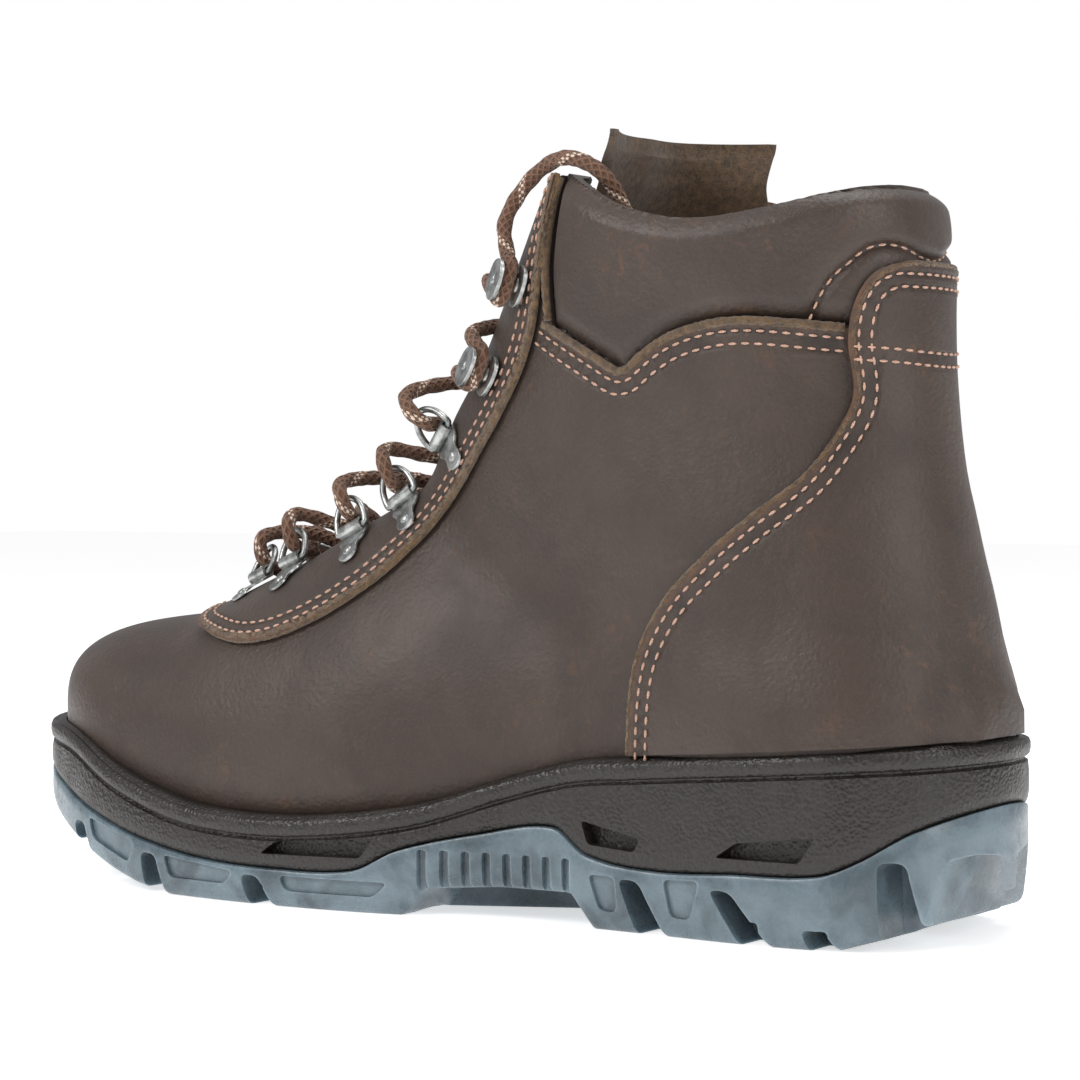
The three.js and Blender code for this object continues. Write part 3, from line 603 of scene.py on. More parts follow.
def mark(piece: bpy.types.Object, name: str, values: np.ndarray) -> None:
    """Stores a number for each point of a piece, for its material to read.

    Args:
        piece: the piece.
        name: the name that the material reads.
        values: one number for each point.
    """
    attribute = piece.data.attributes.new(name, "FLOAT", "POINT")
    attribute.data.foreach_set("value", values.astype(np.float32))


def corners(piece: bpy.types.Object) -> np.ndarray:
    """A piece's points in millimetres."""
    flat = np.empty(len(piece.data.vertices) * 3, np.float32)
    piece.data.vertices.foreach_get("co", flat)
    return flat.reshape(-1, 3).astype(float) / MM


def nearest(points: np.ndarray, lines: Sequence[np.ndarray], reach: float = UNMARKED) -> np.ndarray:
    """Distance of points in space from lines, found with a search tree.

    Args:
        points: places to measure from.
        lines: lines as rows of points.
        reach: the most that is given.

    Returns:
        A distance for each point.
    """
    line = np.vstack(lines)
    tree = KDTree(len(line))
    for i, p in enumerate(line):
        tree.insert(p, i)
    tree.balance()
    best = np.full(len(points), reach)
    near = np.flatnonzero(np.all((points > line.min(0) - 4) & (points < line.max(0) + 4), axis=1))
    for i in near:
        best[i] = min(tree.find(points[i])[2], reach)
    return best


def distance(points: np.ndarray, lines: Sequence[np.ndarray], reach: float = UNMARKED) -> np.ndarray:
    """Distance of points from lines, up to a reach.

    Args:
        points: places to measure from, in 2 or 3 dimensions.
        lines: lines as rows of points.
        reach: the most that is given.

    Returns:
        A distance for each point.
    """
    line = np.vstack(lines)
    best = np.full(len(points), reach)
    near = np.all((points > line.min(0) - reach) & (points < line.max(0) + reach), axis=1)
    chosen = np.flatnonzero(near)
    for start in range(0, len(chosen), 4000):
        part = chosen[start:start + 4000]
        gap = np.linalg.norm(points[part, None, :] - line[None], axis=2).min(1)
        best[part] = np.minimum(gap, reach)
    return best


def frames(line: np.ndarray) -> tuple[np.ndarray, np.ndarray, np.ndarray]:
    """Along, across and outward directions of a line that lies on the last.

    Args:
        line: points in order.

    Returns:
        Unit directions along, across and out, for each point.
    """
    along = np.gradient(line, axis=0)
    along /= np.linalg.norm(along, axis=1, keepdims=True)
    out = LAST.normal(line)
    across = np.cross(out, along)
    across /= np.linalg.norm(across, axis=1, keepdims=True)
    return along, across, np.cross(along, across)


def beside_line(line: np.ndarray, off: float, level: float) -> np.ndarray:
    """A line shifted sideways over the last's surface and laid on a layer.

    Args:
        line: points on the last.
        off: how far it is shifted.
        level: the layer.

    Returns:
        The new line.
    """
    _, across, _ = frames(line)
    return even(LAST.onto(line + across * off, level), 0.8)


def on_last(outline: Sequence[Sequence[float]], side: float, level: float) -> np.ndarray:
    """A side view outline laid on a layer on one side of the boot, without its stretches off the boot.

    Args:
        outline: corners [y, z].
        side: 1 for the outer side, -1 for the inner one.
        level: the layer.

    Returns:
        The laid line.
    """
    line = spline(outline, 0.15)
    middle = np.column_stack([np.zeros(len(line)), line])
    inside = LAST.field(middle) < -0.8
    laid = LAST.beside(line[inside], side, level)
    return even(laid, 0.8)


# ---------------------------------------------------------------- shader nodes
class Net:
    """Adds nodes to a node tree; an input is given as a number, a colour or another node's socket."""

    def __init__(self, tree: bpy.types.NodeTree) -> None:
        """Works on one tree."""
        self.tree = tree

    def add(self, kind: str, settings: dict | None = None, inputs: dict | None = None) -> bpy.types.Node:
        """Adds one node.

        Args:
            kind: the node's type name.
            settings: its properties.
            inputs: its inputs, by name or index.

        Returns:
            The node.
        """
        node = self.tree.nodes.new(kind)
        for key, value in (settings or {}).items():
            setattr(node, key, value)
        for key, value in (inputs or {}).items():
            if isinstance(value, bpy.types.NodeSocket):
                self.tree.links.new(value, node.inputs[key])
            else:
                node.inputs[key].default_value = value
        return node

    def math(self, how: str, a: Value, b: Value = 0.0, clamp: bool = False) -> bpy.types.NodeSocket:
        """A sum, product or other result of two values."""
        return self.add("ShaderNodeMath", {"operation": how, "use_clamp": clamp}, {0: a, 1: b}).outputs[0]

    def noise(self, vector: Value, scale: float, detail: float = 3.0, rough: float = 0.55,
              warp: float = 0.0) -> bpy.types.NodeSocket:
        """Soft noise from 0 to 1.

        Args:
            vector: place in millimetres.
            scale: bumps for each millimetre.
            detail: finer layers.
            rough: their strength.
            warp: how much it is bent.

        Returns:
            The noise.
        """
        return self.add("ShaderNodeTexNoise", None, {"Vector": vector, "Scale": scale, "Detail": detail,
                                                     "Roughness": rough, "Distortion": warp}).outputs[0]

    def cells(self, vector: Value, scale: Value, feature: str) -> bpy.types.NodeSocket:
        """Distances in a pattern of cells."""
        return self.add("ShaderNodeTexVoronoi", {"feature": feature},
                        {"Vector": vector, "Scale": scale}).outputs["Distance"]

    def ease(self, value: Value, low: float, high: float, first: float = 0.0,
             last: float = 1.0) -> bpy.types.NodeSocket:
        """Moves a value smoothly from one range to another.

        Args:
            value: what is moved.
            low: start of its range.
            high: end of its range.
            first: result at low.
            last: result at high.

        Returns:
            The result.
        """
        return self.add("ShaderNodeMapRange", {"interpolation_type": "SMOOTHSTEP"},
                        {"Value": value, "From Min": low, "From Max": high, "To Min": first,
                         "To Max": last}).outputs[0]

    def blend(self, share: Value, a: Value, b: Value) -> bpy.types.NodeSocket:
        """A mix of two colours."""
        return self.add("ShaderNodeMix", {"data_type": "RGBA"}, {0: share, 6: a, 7: b}).outputs[2]

    def bump(self, height: Value, depth: float,
             normal: bpy.types.NodeSocket | None = None) -> bpy.types.NodeSocket:
        """A relief of a depth in millimetres."""
        inputs = {"Height": height, "Distance": depth * MM, "Strength": 1.0}
        if normal is not None:
            inputs["Normal"] = normal
        return self.add("ShaderNodeBump", None, inputs).outputs[0]

    def place(self, size: tuple[float, float, float] = (1, 1, 1)) -> bpy.types.NodeSocket:
        """Object coordinates in millimetres, stretched along the axes."""
        spot = self.add("ShaderNodeTexCoord").outputs["Object"]
        scale = tuple(v / MM for v in size)
        return self.add("ShaderNodeMapping", None, {"Vector": spot, "Scale": scale}).outputs[0]

    def value(self, name: str) -> bpy.types.NodeSocket:
        """A number stored on the mesh."""
        return self.add("ShaderNodeAttribute", {"attribute_name": name}).outputs["Fac"]


def node_group(name: str, inputs: dict[str, float | None], outputs: Sequence[str],
               build: Callable[[Net, dict], dict]) -> bpy.types.NodeTree:
    """Makes a shader node group once and finds it again later.

    Args:
        name: the group's name.
        inputs: input names with their defaults; a name that starts with "Vector" is a vector.
        outputs: names of its outputs, all numbers.
        build: makes the nodes from the inputs' sockets and gives the outputs' sockets.

    Returns:
        The group.
    """
    if name in bpy.data.node_groups:
        return bpy.data.node_groups[name]
    tree = bpy.data.node_groups.new(name, "ShaderNodeTree")
    for key, default in inputs.items():
        kind = "NodeSocketVector" if key.startswith("Vector") else "NodeSocketFloat"
        socket = tree.interface.new_socket(name=key, in_out="INPUT", socket_type=kind)
        if default is not None:
            socket.default_value = default
    for key in outputs:
        tree.interface.new_socket(name=key, in_out="OUTPUT", socket_type="NodeSocketFloat")
    net = Net(tree)
    source = tree.nodes.new("NodeGroupInput")
    sink = tree.nodes.new("NodeGroupOutput")
    for key, socket in build(net, {k: source.outputs[k] for k in inputs}).items():
        tree.links.new(socket, sink.inputs[key])
    return tree


def use_group(net: Net, tree: bpy.types.NodeTree, **inputs: Value) -> bpy.types.NodeOutputs:
    """Places a node group in a material and gives its outputs."""
    named = {key.replace("_", " "): value for key, value in inputs.items()}
    return net.add("ShaderNodeGroup", {"node_tree": tree}, named).outputs


def grain_group() -> bpy.types.NodeTree:
    """Fine hide grain: small pebbles with soft creases, and slow patches of tone."""
    def build(net: Net, given: dict) -> dict:
        """Lays the group's nodes."""
        pebbles = net.cells(given["Vector"], given["Scale"], "SMOOTH_F1")
        creases = net.noise(given["Vector"], 0.35, 4.0, 0.6, 0.6)
        pores = net.noise(given["Vector"], 2.6, 2.0, 0.6)
        height = net.math("ADD", net.math("MULTIPLY", pebbles, 0.5), net.math("MULTIPLY", pores, 0.4))
        height = net.math("ADD", height, net.math("MULTIPLY", creases, given["Creases"]))
        patches = net.noise(given["Vector"], 0.035, 5.0, 0.62, 0.4)
        return {"Height": height, "Patches": patches, "Pores": pores}
    return node_group("hide grain", {"Vector": None, "Scale": 1.1, "Creases": 0.5},
                      ("Height", "Patches", "Pores"),
                      build)


def rub_group() -> bpy.types.NodeTree:
    """Light rub marks and scuffs, where the oiled hide has pulled up paler."""
    def build(net: Net, given: dict) -> dict:
        """Lays the group's nodes."""
        clouds = net.ease(net.noise(given["Vector"], 0.022, 4.0, 0.7, 0.8), 0.46, 0.66)
        streaks = net.ease(net.noise(given["Vector"], 0.16, 3.0, 0.75, 1.6), 0.5, 0.72)
        marks = net.math("MULTIPLY", net.math("MULTIPLY", clouds, streaks), given["Amount"], True)
        return {"Mask": marks}
    return node_group("rub marks", {"Vector": None, "Amount": 0.6}, ("Mask",), build)


def fuzz_group() -> bpy.types.NodeTree:
    """The nap of a raw suede edge."""
    def build(net: Net, given: dict) -> dict:
        """Lays the group's nodes."""
        fibres = net.noise(given["Vector"], 1.9, 5.0, 0.75, 1.2)
        clumps = net.noise(given["Vector"], 0.55, 3.0, 0.6, 0.5)
        height = net.math("ADD", fibres, clumps)
        return {"Height": height, "Tone": net.ease(net.math("MULTIPLY", height, 0.5), 0.3, 0.68)}
    return node_group("suede nap", {"Vector": None}, ("Height", "Tone"), build)


def stipple_group() -> bpy.types.NodeTree:
    """Fine moulded stipple."""
    def build(net: Net, given: dict) -> dict:
        """Lays the group's nodes."""
        dots = net.cells(given["Vector"], given["Scale"], "SMOOTH_F1")
        drift = net.noise(given["Vector"], 0.12, 3.0, 0.5)
        return {"Height": net.math("ADD", dots, net.math("MULTIPLY", drift, 0.25)), "Drift": drift}
    return node_group("moulded stipple", {"Vector": None, "Scale": 1.3}, ("Height", "Drift"), build)


@dataclass(frozen=True)
class Finish:
    """A surface finish; each kind lays its own nodes."""

    name: str
    slot: str
    color: tuple[float, float, float]
    second: tuple[float, float, float] = (0.2, 0.1, 0.05)
    roughness: float = 0.6

    def material(self) -> bpy.types.Material:
        """The finish's material, made once."""
        if self.name in bpy.data.materials:
            return bpy.data.materials[self.name]
        made = bpy.data.materials.new(self.name)
        made.use_nodes = True
        net = Net(made.node_tree)
        self.lay(net, made.node_tree.nodes["Principled BSDF"])
        return made

    def lay(self, net: Net, shader: bpy.types.Node) -> None:
        """Connects the finish to its shader."""
        raise NotImplementedError

    @staticmethod
    def feed(net: Net, shader: bpy.types.Node, **sockets: Value) -> None:
        """Links values that change over the surface, and sets the others."""
        for key, value in sockets.items():
            socket = shader.inputs[key.replace("_", " ")]
            if isinstance(value, bpy.types.NodeSocket):
                net.tree.links.new(value, socket)
            else:
                socket.default_value = value


def rgba(color: Sequence[float], lift: float = 1.0) -> tuple[float, float, float, float]:
    """A colour with full cover, made lighter or darker."""
    return (*[min(c * lift, 1.0) for c in color], 1.0)


@dataclass(frozen=True)
class Hide(Finish):
    """Oiled nubuck: satin, finely grained, rubbed paler at edges and bends."""

    grain: float = 0.85
    depth: float = 0.3
    rub: float = 0.4

    def lay(self, net: Net, shader: bpy.types.Node) -> None:
        """Lays grain, tone patches, rub marks, worn edges, and sunk stitch rows darkened with painted shade.
        """
        spot = net.place()
        grain = use_group(net, grain_group(), Vector=spot, Scale=self.grain)
        rub = use_group(net, rub_group(), Vector=spot, Amount=self.rub)["Mask"]
        edge, sewn = net.value("edge"), net.value("sewn")
        tone = net.blend(net.ease(grain["Patches"], 0.34, 0.66), rgba(self.color, 0.82),
                         rgba(self.color, 1.22))
        tone = net.blend(net.math("MULTIPLY", net.ease(grain["Pores"], 0.5, 0.7), 0.4), tone,
                         rgba(self.color, 1.9))
        near = net.ease(edge, 0.3, 2.6, 1.0, 0.0)
        worn = net.math("MULTIPLY", near, net.ease(net.noise(spot, 0.25, 3.0), 0.35, 0.65, 0.15, 0.8))
        tone = net.blend(net.math("MAXIMUM", rub, worn), tone, rgba(self.second))
        normal = net.bump(grain["Height"], self.depth)
        # Painted shade: within about a millimetre of a stitch row the colour darkens towards a third of the
        # hide's tone, in the groove that the next bump sinks.
        tone = net.blend(net.ease(sewn, 0.2, 1.0, 0.6, 0.0), tone, rgba(self.color, 0.3))
        normal = net.bump(net.ease(sewn, 0.1, 1.5), 0.4, normal)
        shine = net.ease(grain["Patches"], 0.3, 0.7, self.roughness + 0.06, self.roughness - 0.07)
        self.feed(net, shader, Base_Color=tone, Roughness=shine, Normal=normal, Specular_IOR_Level=0.42,
                  Sheen_Weight=0.06, Sheen_Roughness=0.5)


@dataclass(frozen=True)
class Suede(Finish):
    """Raw suede: a fuzzy nap in two browns."""

    depth: float = 0.5

    def lay(self, net: Net, shader: bpy.types.Node) -> None:
        """Lays the nap."""
        nap = use_group(net, fuzz_group(), Vector=net.place())
        tone = net.blend(nap["Tone"], rgba(self.color, 0.5), rgba(self.second))
        self.feed(net, shader, Base_Color=tone, Roughness=self.roughness,
                  Normal=net.bump(nap["Height"], self.depth), Sheen_Weight=0.35, Sheen_Roughness=0.6,
                  Specular_IOR_Level=0.15)


@dataclass(frozen=True)
class Foam(Finish):
    """Moulded polyurethane with a fine stipple."""

    scale: float = 1.15
    depth: float = 0.3

    def lay(self, net: Net, shader: bpy.types.Node) -> None:
        """Lays the stipple, with painted shade in its dimples: its raised points turn paler."""
        spot = net.place()
        stipple = use_group(net, stipple_group(), Vector=spot, Scale=self.scale)
        tone = net.blend(net.ease(stipple["Drift"], 0.3, 0.7), rgba(self.color, 0.85), rgba(self.color, 1.25))
        # Painted shade: the colour follows the stipple's height, so the dimples stay dark and the raised
        # points turn paler.
        tone = net.blend(net.ease(stipple["Height"], 0.25, 0.9, 0.0, 0.3), tone, rgba(self.second))
        gloss = net.ease(stipple["Drift"], 0.3, 0.7, self.roughness - 0.06, self.roughness + 0.08)
        self.feed(net, shader, Base_Color=tone, Roughness=gloss,
                  Normal=net.bump(stipple["Height"], self.depth), Specular_IOR_Level=0.5)


@dataclass(frozen=True)
class Resin(Finish):
    """Translucent moulded rubber."""

    def lay(self, net: Net, shader: bpy.types.Node) -> None:
        """Lays cloudy colour and a faint moulding texture."""
        spot = net.place()
        cloud = net.noise(spot, 0.06, 4.0, 0.6, 0.5)
        fine = net.noise(spot, 0.9, 3.0, 0.6)
        tone = net.blend(net.ease(cloud, 0.32, 0.68), rgba(self.color, 0.8), rgba(self.second))
        gloss = net.ease(fine, 0.3, 0.7, self.roughness - 0.08, self.roughness + 0.1)
        self.feed(net, shader, Base_Color=tone, Roughness=gloss,
                  Normal=net.bump(fine, 0.05), Subsurface_Weight=0.35, Subsurface_Scale=0.006,
                  Subsurface_Radius=(0.7, 0.9, 1.0), Specular_IOR_Level=0.5)


@dataclass(frozen=True)
class Plate(Finish):
    """Plated steel, tumbled, with fine scratches."""

    def lay(self, net: Net, shader: bpy.types.Node) -> None:
        """Lays scratches and a slow change of gloss."""
        spot = net.place()
        scratches = net.noise(net.place((0.4, 0.4, 3.0)), 1.4, 4.0, 0.7, 0.6)
        dull = net.ease(net.noise(spot, 0.3, 3.0), 0.35, 0.65)
        tone = net.blend(dull, rgba(self.color, 0.75), rgba(self.second))
        self.feed(net, shader, Base_Color=tone, Metallic=1.0,
                  Roughness=net.ease(scratches, 0.3, 0.7, self.roughness - 0.1, self.roughness + 0.14),
                  Normal=net.bump(scratches, 0.012))


@dataclass(frozen=True)
class Cloth(Finish):
    """Woven or felted fabric."""

    pitch: float = 1.2

    def lay(self, net: Net, shader: bpy.types.Node) -> None:
        """Lays a crossed weave with loose fibres."""
        spot = net.place()
        turned = net.add("ShaderNodeMapping", None, {"Vector": spot, "Rotation": (0.6, 0.5, 0.7)}).outputs[0]
        parts = net.add("ShaderNodeSeparateXYZ", None, {"Vector": turned}).outputs
        step = 2 * math.pi / self.pitch
        waves = [net.math("SINE", net.math("MULTIPLY", part, step)) for part in parts]
        weave = net.math("MULTIPLY", net.math("ADD", waves[0], waves[2]), net.math("ADD", waves[1], 1.5))
        loose = net.noise(spot, 2.2, 4.0, 0.7)
        height = net.math("ADD", net.math("MULTIPLY", weave, 0.3), loose)
        tone = net.blend(net.ease(height, 0.0, 1.2), rgba(self.color, 0.6), rgba(self.second))
        self.feed(net, shader, Base_Color=tone, Roughness=self.roughness, Normal=net.bump(height, 0.15),
                  Sheen_Weight=0.2, Specular_IOR_Level=0.2)


@dataclass(frozen=True)
class Thread(Finish):
    """Waxed sewing thread, twisted."""

    def lay(self, net: Net, shader: bpy.types.Node) -> None:
        """Lays the twist and a change of tone from stitch to stitch."""
        spot = net.place()
        twist = net.add("ShaderNodeTexWave", {"bands_direction": "DIAGONAL"},
                        {"Vector": spot, "Scale": 1.1, "Distortion": 0.6}).outputs["Fac"]
        tone = net.blend(net.noise(spot, 0.22, 2.0), rgba(self.color, 0.8), rgba(self.second))
        self.feed(net, shader, Base_Color=net.blend(twist, tone, rgba(self.color, 0.7)),
                  Roughness=self.roughness,
                  Normal=net.bump(twist, 0.08), Sheen_Weight=0.1)


@dataclass(frozen=True)
class Braid(Finish):
    """Round braided cord: brown strands with pale flecks; u runs round it and v along it."""

    fleck: tuple[float, float, float] = (0.78, 0.62, 0.5)
    strands: float = 12.0
    pitch: float = 2.7
    fleck_pitch: float = 17.0

    def lay(self, net: Net, shader: bpy.types.Node) -> None:
        """Lays crossed strands and the flecks where a pale strand surfaces."""
        uv = net.add("ShaderNodeUVMap", {"uv_map": "UVMap"}).outputs[0]
        parts = net.add("ShaderNodeSeparateXYZ", None, {"Vector": uv}).outputs
        turn = net.math("MULTIPLY", parts[0], 2 * math.pi / MM)
        run = net.math("MULTIPLY", parts[1], 2 * math.pi / (self.pitch * MM))
        half = net.math("MULTIPLY", turn, self.strands / 2)
        one = net.math("SINE", net.math("ADD", half, run))
        two = net.math("SINE", net.math("SUBTRACT", half, run))
        height = net.math("MAXIMUM", one, two)
        slow = net.math("MULTIPLY", parts[1], 2 * math.pi / (self.fleck_pitch * MM))
        here = net.math("MULTIPLY", net.ease(net.math("SINE", net.math("ADD", slow, turn)), 0.86, 0.93),
                        net.ease(net.math("MULTIPLY", one, two), -0.1, 0.2))
        yarn = net.noise(net.place(), 2.4, 3.0, 0.7)
        tone = net.blend(net.ease(height, 0.0, 1.0), rgba(self.color, 0.35), rgba(self.color))
        tone = net.blend(net.math("MULTIPLY", yarn, 0.5), tone, rgba(self.second))
        tone = net.blend(here, tone, rgba(self.fleck))
        self.feed(net, shader, Base_Color=tone, Roughness=self.roughness,
                  Normal=net.bump(net.math("ADD", height, net.math("MULTIPLY", yarn, 0.4)), 0.35),
                  Sheen_Weight=0.15, Specular_IOR_Level=0.3)


@dataclass(frozen=True)
class Board(Finish):
    """Pressed fibre or foam sheet."""

    def lay(self, net: Net, shader: bpy.types.Node) -> None:
        """Lays speckled fibres."""
        spot = net.place()
        fibres = net.noise(spot, 0.8, 5.0, 0.75, 1.0)
        tone = net.blend(net.ease(fibres, 0.3, 0.7), rgba(self.color, 0.75), rgba(self.second))
        self.feed(net, shader, Base_Color=tone, Roughness=self.roughness, Normal=net.bump(fibres, 0.1))


UPPER_HIDE = Hide("oiled nubuck", "upper_leather", (0.043, 0.028, 0.0205), (0.13, 0.06, 0.028), 0.45)
COLLAR_HIDE = Hide("padded collar nubuck", "collar_leather", (0.043, 0.0285, 0.021), (0.14, 0.064, 0.03), 0.4,
                   depth=0.28, rub=0.45)
TONGUE_HIDE = Hide("tongue leather", "tongue_leather", (0.07, 0.05, 0.04), (0.2, 0.1, 0.05), 0.55)
TONGUE_SUEDE = Suede("tongue suede", "tongue_leather", (0.05, 0.027, 0.01), (0.17, 0.093, 0.04), 0.95,
                     depth=0.5)
RAW_EDGE = Suede("raw suede edge", "upper_leather", (0.05, 0.027, 0.009), (0.2, 0.108, 0.036), 0.95)
# The midsole's second colour is the paler tone painted onto the stipple's raised points, against painted
# shade in its dimples.
MIDSOLE_FOAM = Foam("stippled polyurethane", "midsole", (0.014, 0.011, 0.009), (0.04, 0.033, 0.028), 0.4)
OUTSOLE_RESIN = Resin("translucent rubber", "outsole", (0.085, 0.115, 0.135), (0.16, 0.21, 0.24), 0.3)
NICKEL = Plate("tumbled nickel", "hardware", (0.3, 0.31, 0.3), (0.5, 0.51, 0.5), 0.36)
TOE_STEEL = Plate("pressed steel", "toe_steel", (0.5, 0.5, 0.52), (0.6, 0.6, 0.62), 0.4)
SHANK_STEEL = Plate("spring steel", "shank", (0.5, 0.5, 0.52), (0.6, 0.6, 0.62), 0.35)
LINING_CLOTH = Cloth("lining mesh", "lining_fabric", (0.05, 0.032, 0.02), (0.1, 0.066, 0.04), 0.95)
FOOTBED_CLOTH = Cloth("footbed cloth", "footbed", (0.03, 0.03, 0.03), (0.08, 0.078, 0.075), 0.95, 1.6)
SEAM_THREAD = Thread("waxed thread", "upper_leather", (0.62, 0.36, 0.25), (0.8, 0.52, 0.4), 0.6)
LACE_BRAID = Braid("braided lace", "lace", (0.17, 0.085, 0.05), (0.3, 0.16, 0.1), 0.8)
TIP_FILM = Braid("wrapped lace tip", "aglet", (0.14, 0.08, 0.05), (0.2, 0.12, 0.08), 0.25)
FIBRE_BOARD = Board("fibre board", "board", (0.4, 0.3, 0.18), (0.55, 0.44, 0.3), 0.9)
PAD_FOAM = Board("pad foam", "foam", (0.6, 0.56, 0.42), (0.75, 0.7, 0.58), 0.95)


def dress(piece: bpy.types.Object, finish: Finish, body: str = "boot", replaces: Sequence[str] = ()) -> None:
    """Gives a piece its finish, its body and the CAD nodes that it stands for.

    Args:
        piece: the piece.
        finish: its finish.
        body: the body that it rides on.
        replaces: names of the CAD nodes.
    """
    piece.data.materials.clear()
    piece.data.materials.append(finish.material())
    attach(piece, body)
    if replaces:
        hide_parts(*replaces)
    log.info("%s: %d faces, finish %s", piece.name, len(piece.data.polygons), finish.name)


# ---------------------------------------------------------------- upper
QUARTER_TOP = 193.0
SKINS: dict[tuple[int, int], tuple[np.ndarray, np.ndarray]] = {}


class Row(Enum):
    """Rows of stitches, by their distance from the panel's edge."""

    FIRST = 2.6
    SECOND = 5.8


def solid(level: float, rows: int = FINE[0], columns: int = FINE[1]) -> bpy.types.Object:
    """Everything inside one layer, closed, from the toe to the top of the shaft.

    Args:
        level: the layer.
        rows: how many points along the boot.
        columns: how many round it.

    Returns:
        The solid.
    """
    key = (rows, columns)
    if key not in SKINS:
        s = np.concatenate([[0.0], np.linspace(0.03, 4, rows)])[:, None]
        t = np.linspace(0, 2 * math.pi, columns, endpoint=False)[None]
        start, way = LAST.ray(*np.broadcast_arrays(s, t))
        SKINS[key] = LAST.first(start, way, 260.0), way
    points = LAST.near(*SKINS[key], level)
    points[0] = points[0].mean(0)
    points[-1, :, 2] = LAST.spine_top
    return surface("solid", points, around=True, capped=True)


def side_region(*parts: Sequence[Sequence[float]]) -> list[tuple[float, float]]:
    """Joins stretches of a side view outline; a stretch of more than two corners is smoothed.

    Args:
        parts: stretches in order.

    Returns:
        The region's corners [y, z].
    """
    joined: list[tuple[float, float]] = []
    for part in parts:
        line = spline(part, 1.0) if len(part) > 2 else np.array(part, float)
        for a, b in line:
            if not joined or math.hypot(a - joined[-1][0], b - joined[-1][1]) > 0.05:
                joined.append((float(a), float(b)))
    return joined


def throat_prism(grow: float = 0.0) -> bpy.types.Object:
    """The lacing gap, cut square to the instep's slope.

    Args:
        grow: how much wider the gap is made.

    Returns:
        The cutter.
    """
    half = [(x + grow if x else 0.0, e if e > 0 else e - grow) for x, e in THROAT]
    half = [tuple(p) for p in spline(half, 1.5)]
    outline = half + [(-x, e) for x, e in reversed(half[1:])]
    slope = math.sqrt(0.5)
    turn = Matrix(((1, 0, 0), (0, slope, -slope), (0, slope, slope))).to_4x4()
    return prism(outline, 72, 192, turn)


def feather_region() -> list[tuple[float, float]]:
    """Everything under the midsole's top edge in side view."""
    lift = 0.6
    y = np.linspace(-END, END, 160)
    return [*zip(y, FEATHER(y) + lift), (FAR, -20), (-FAR, -20)]


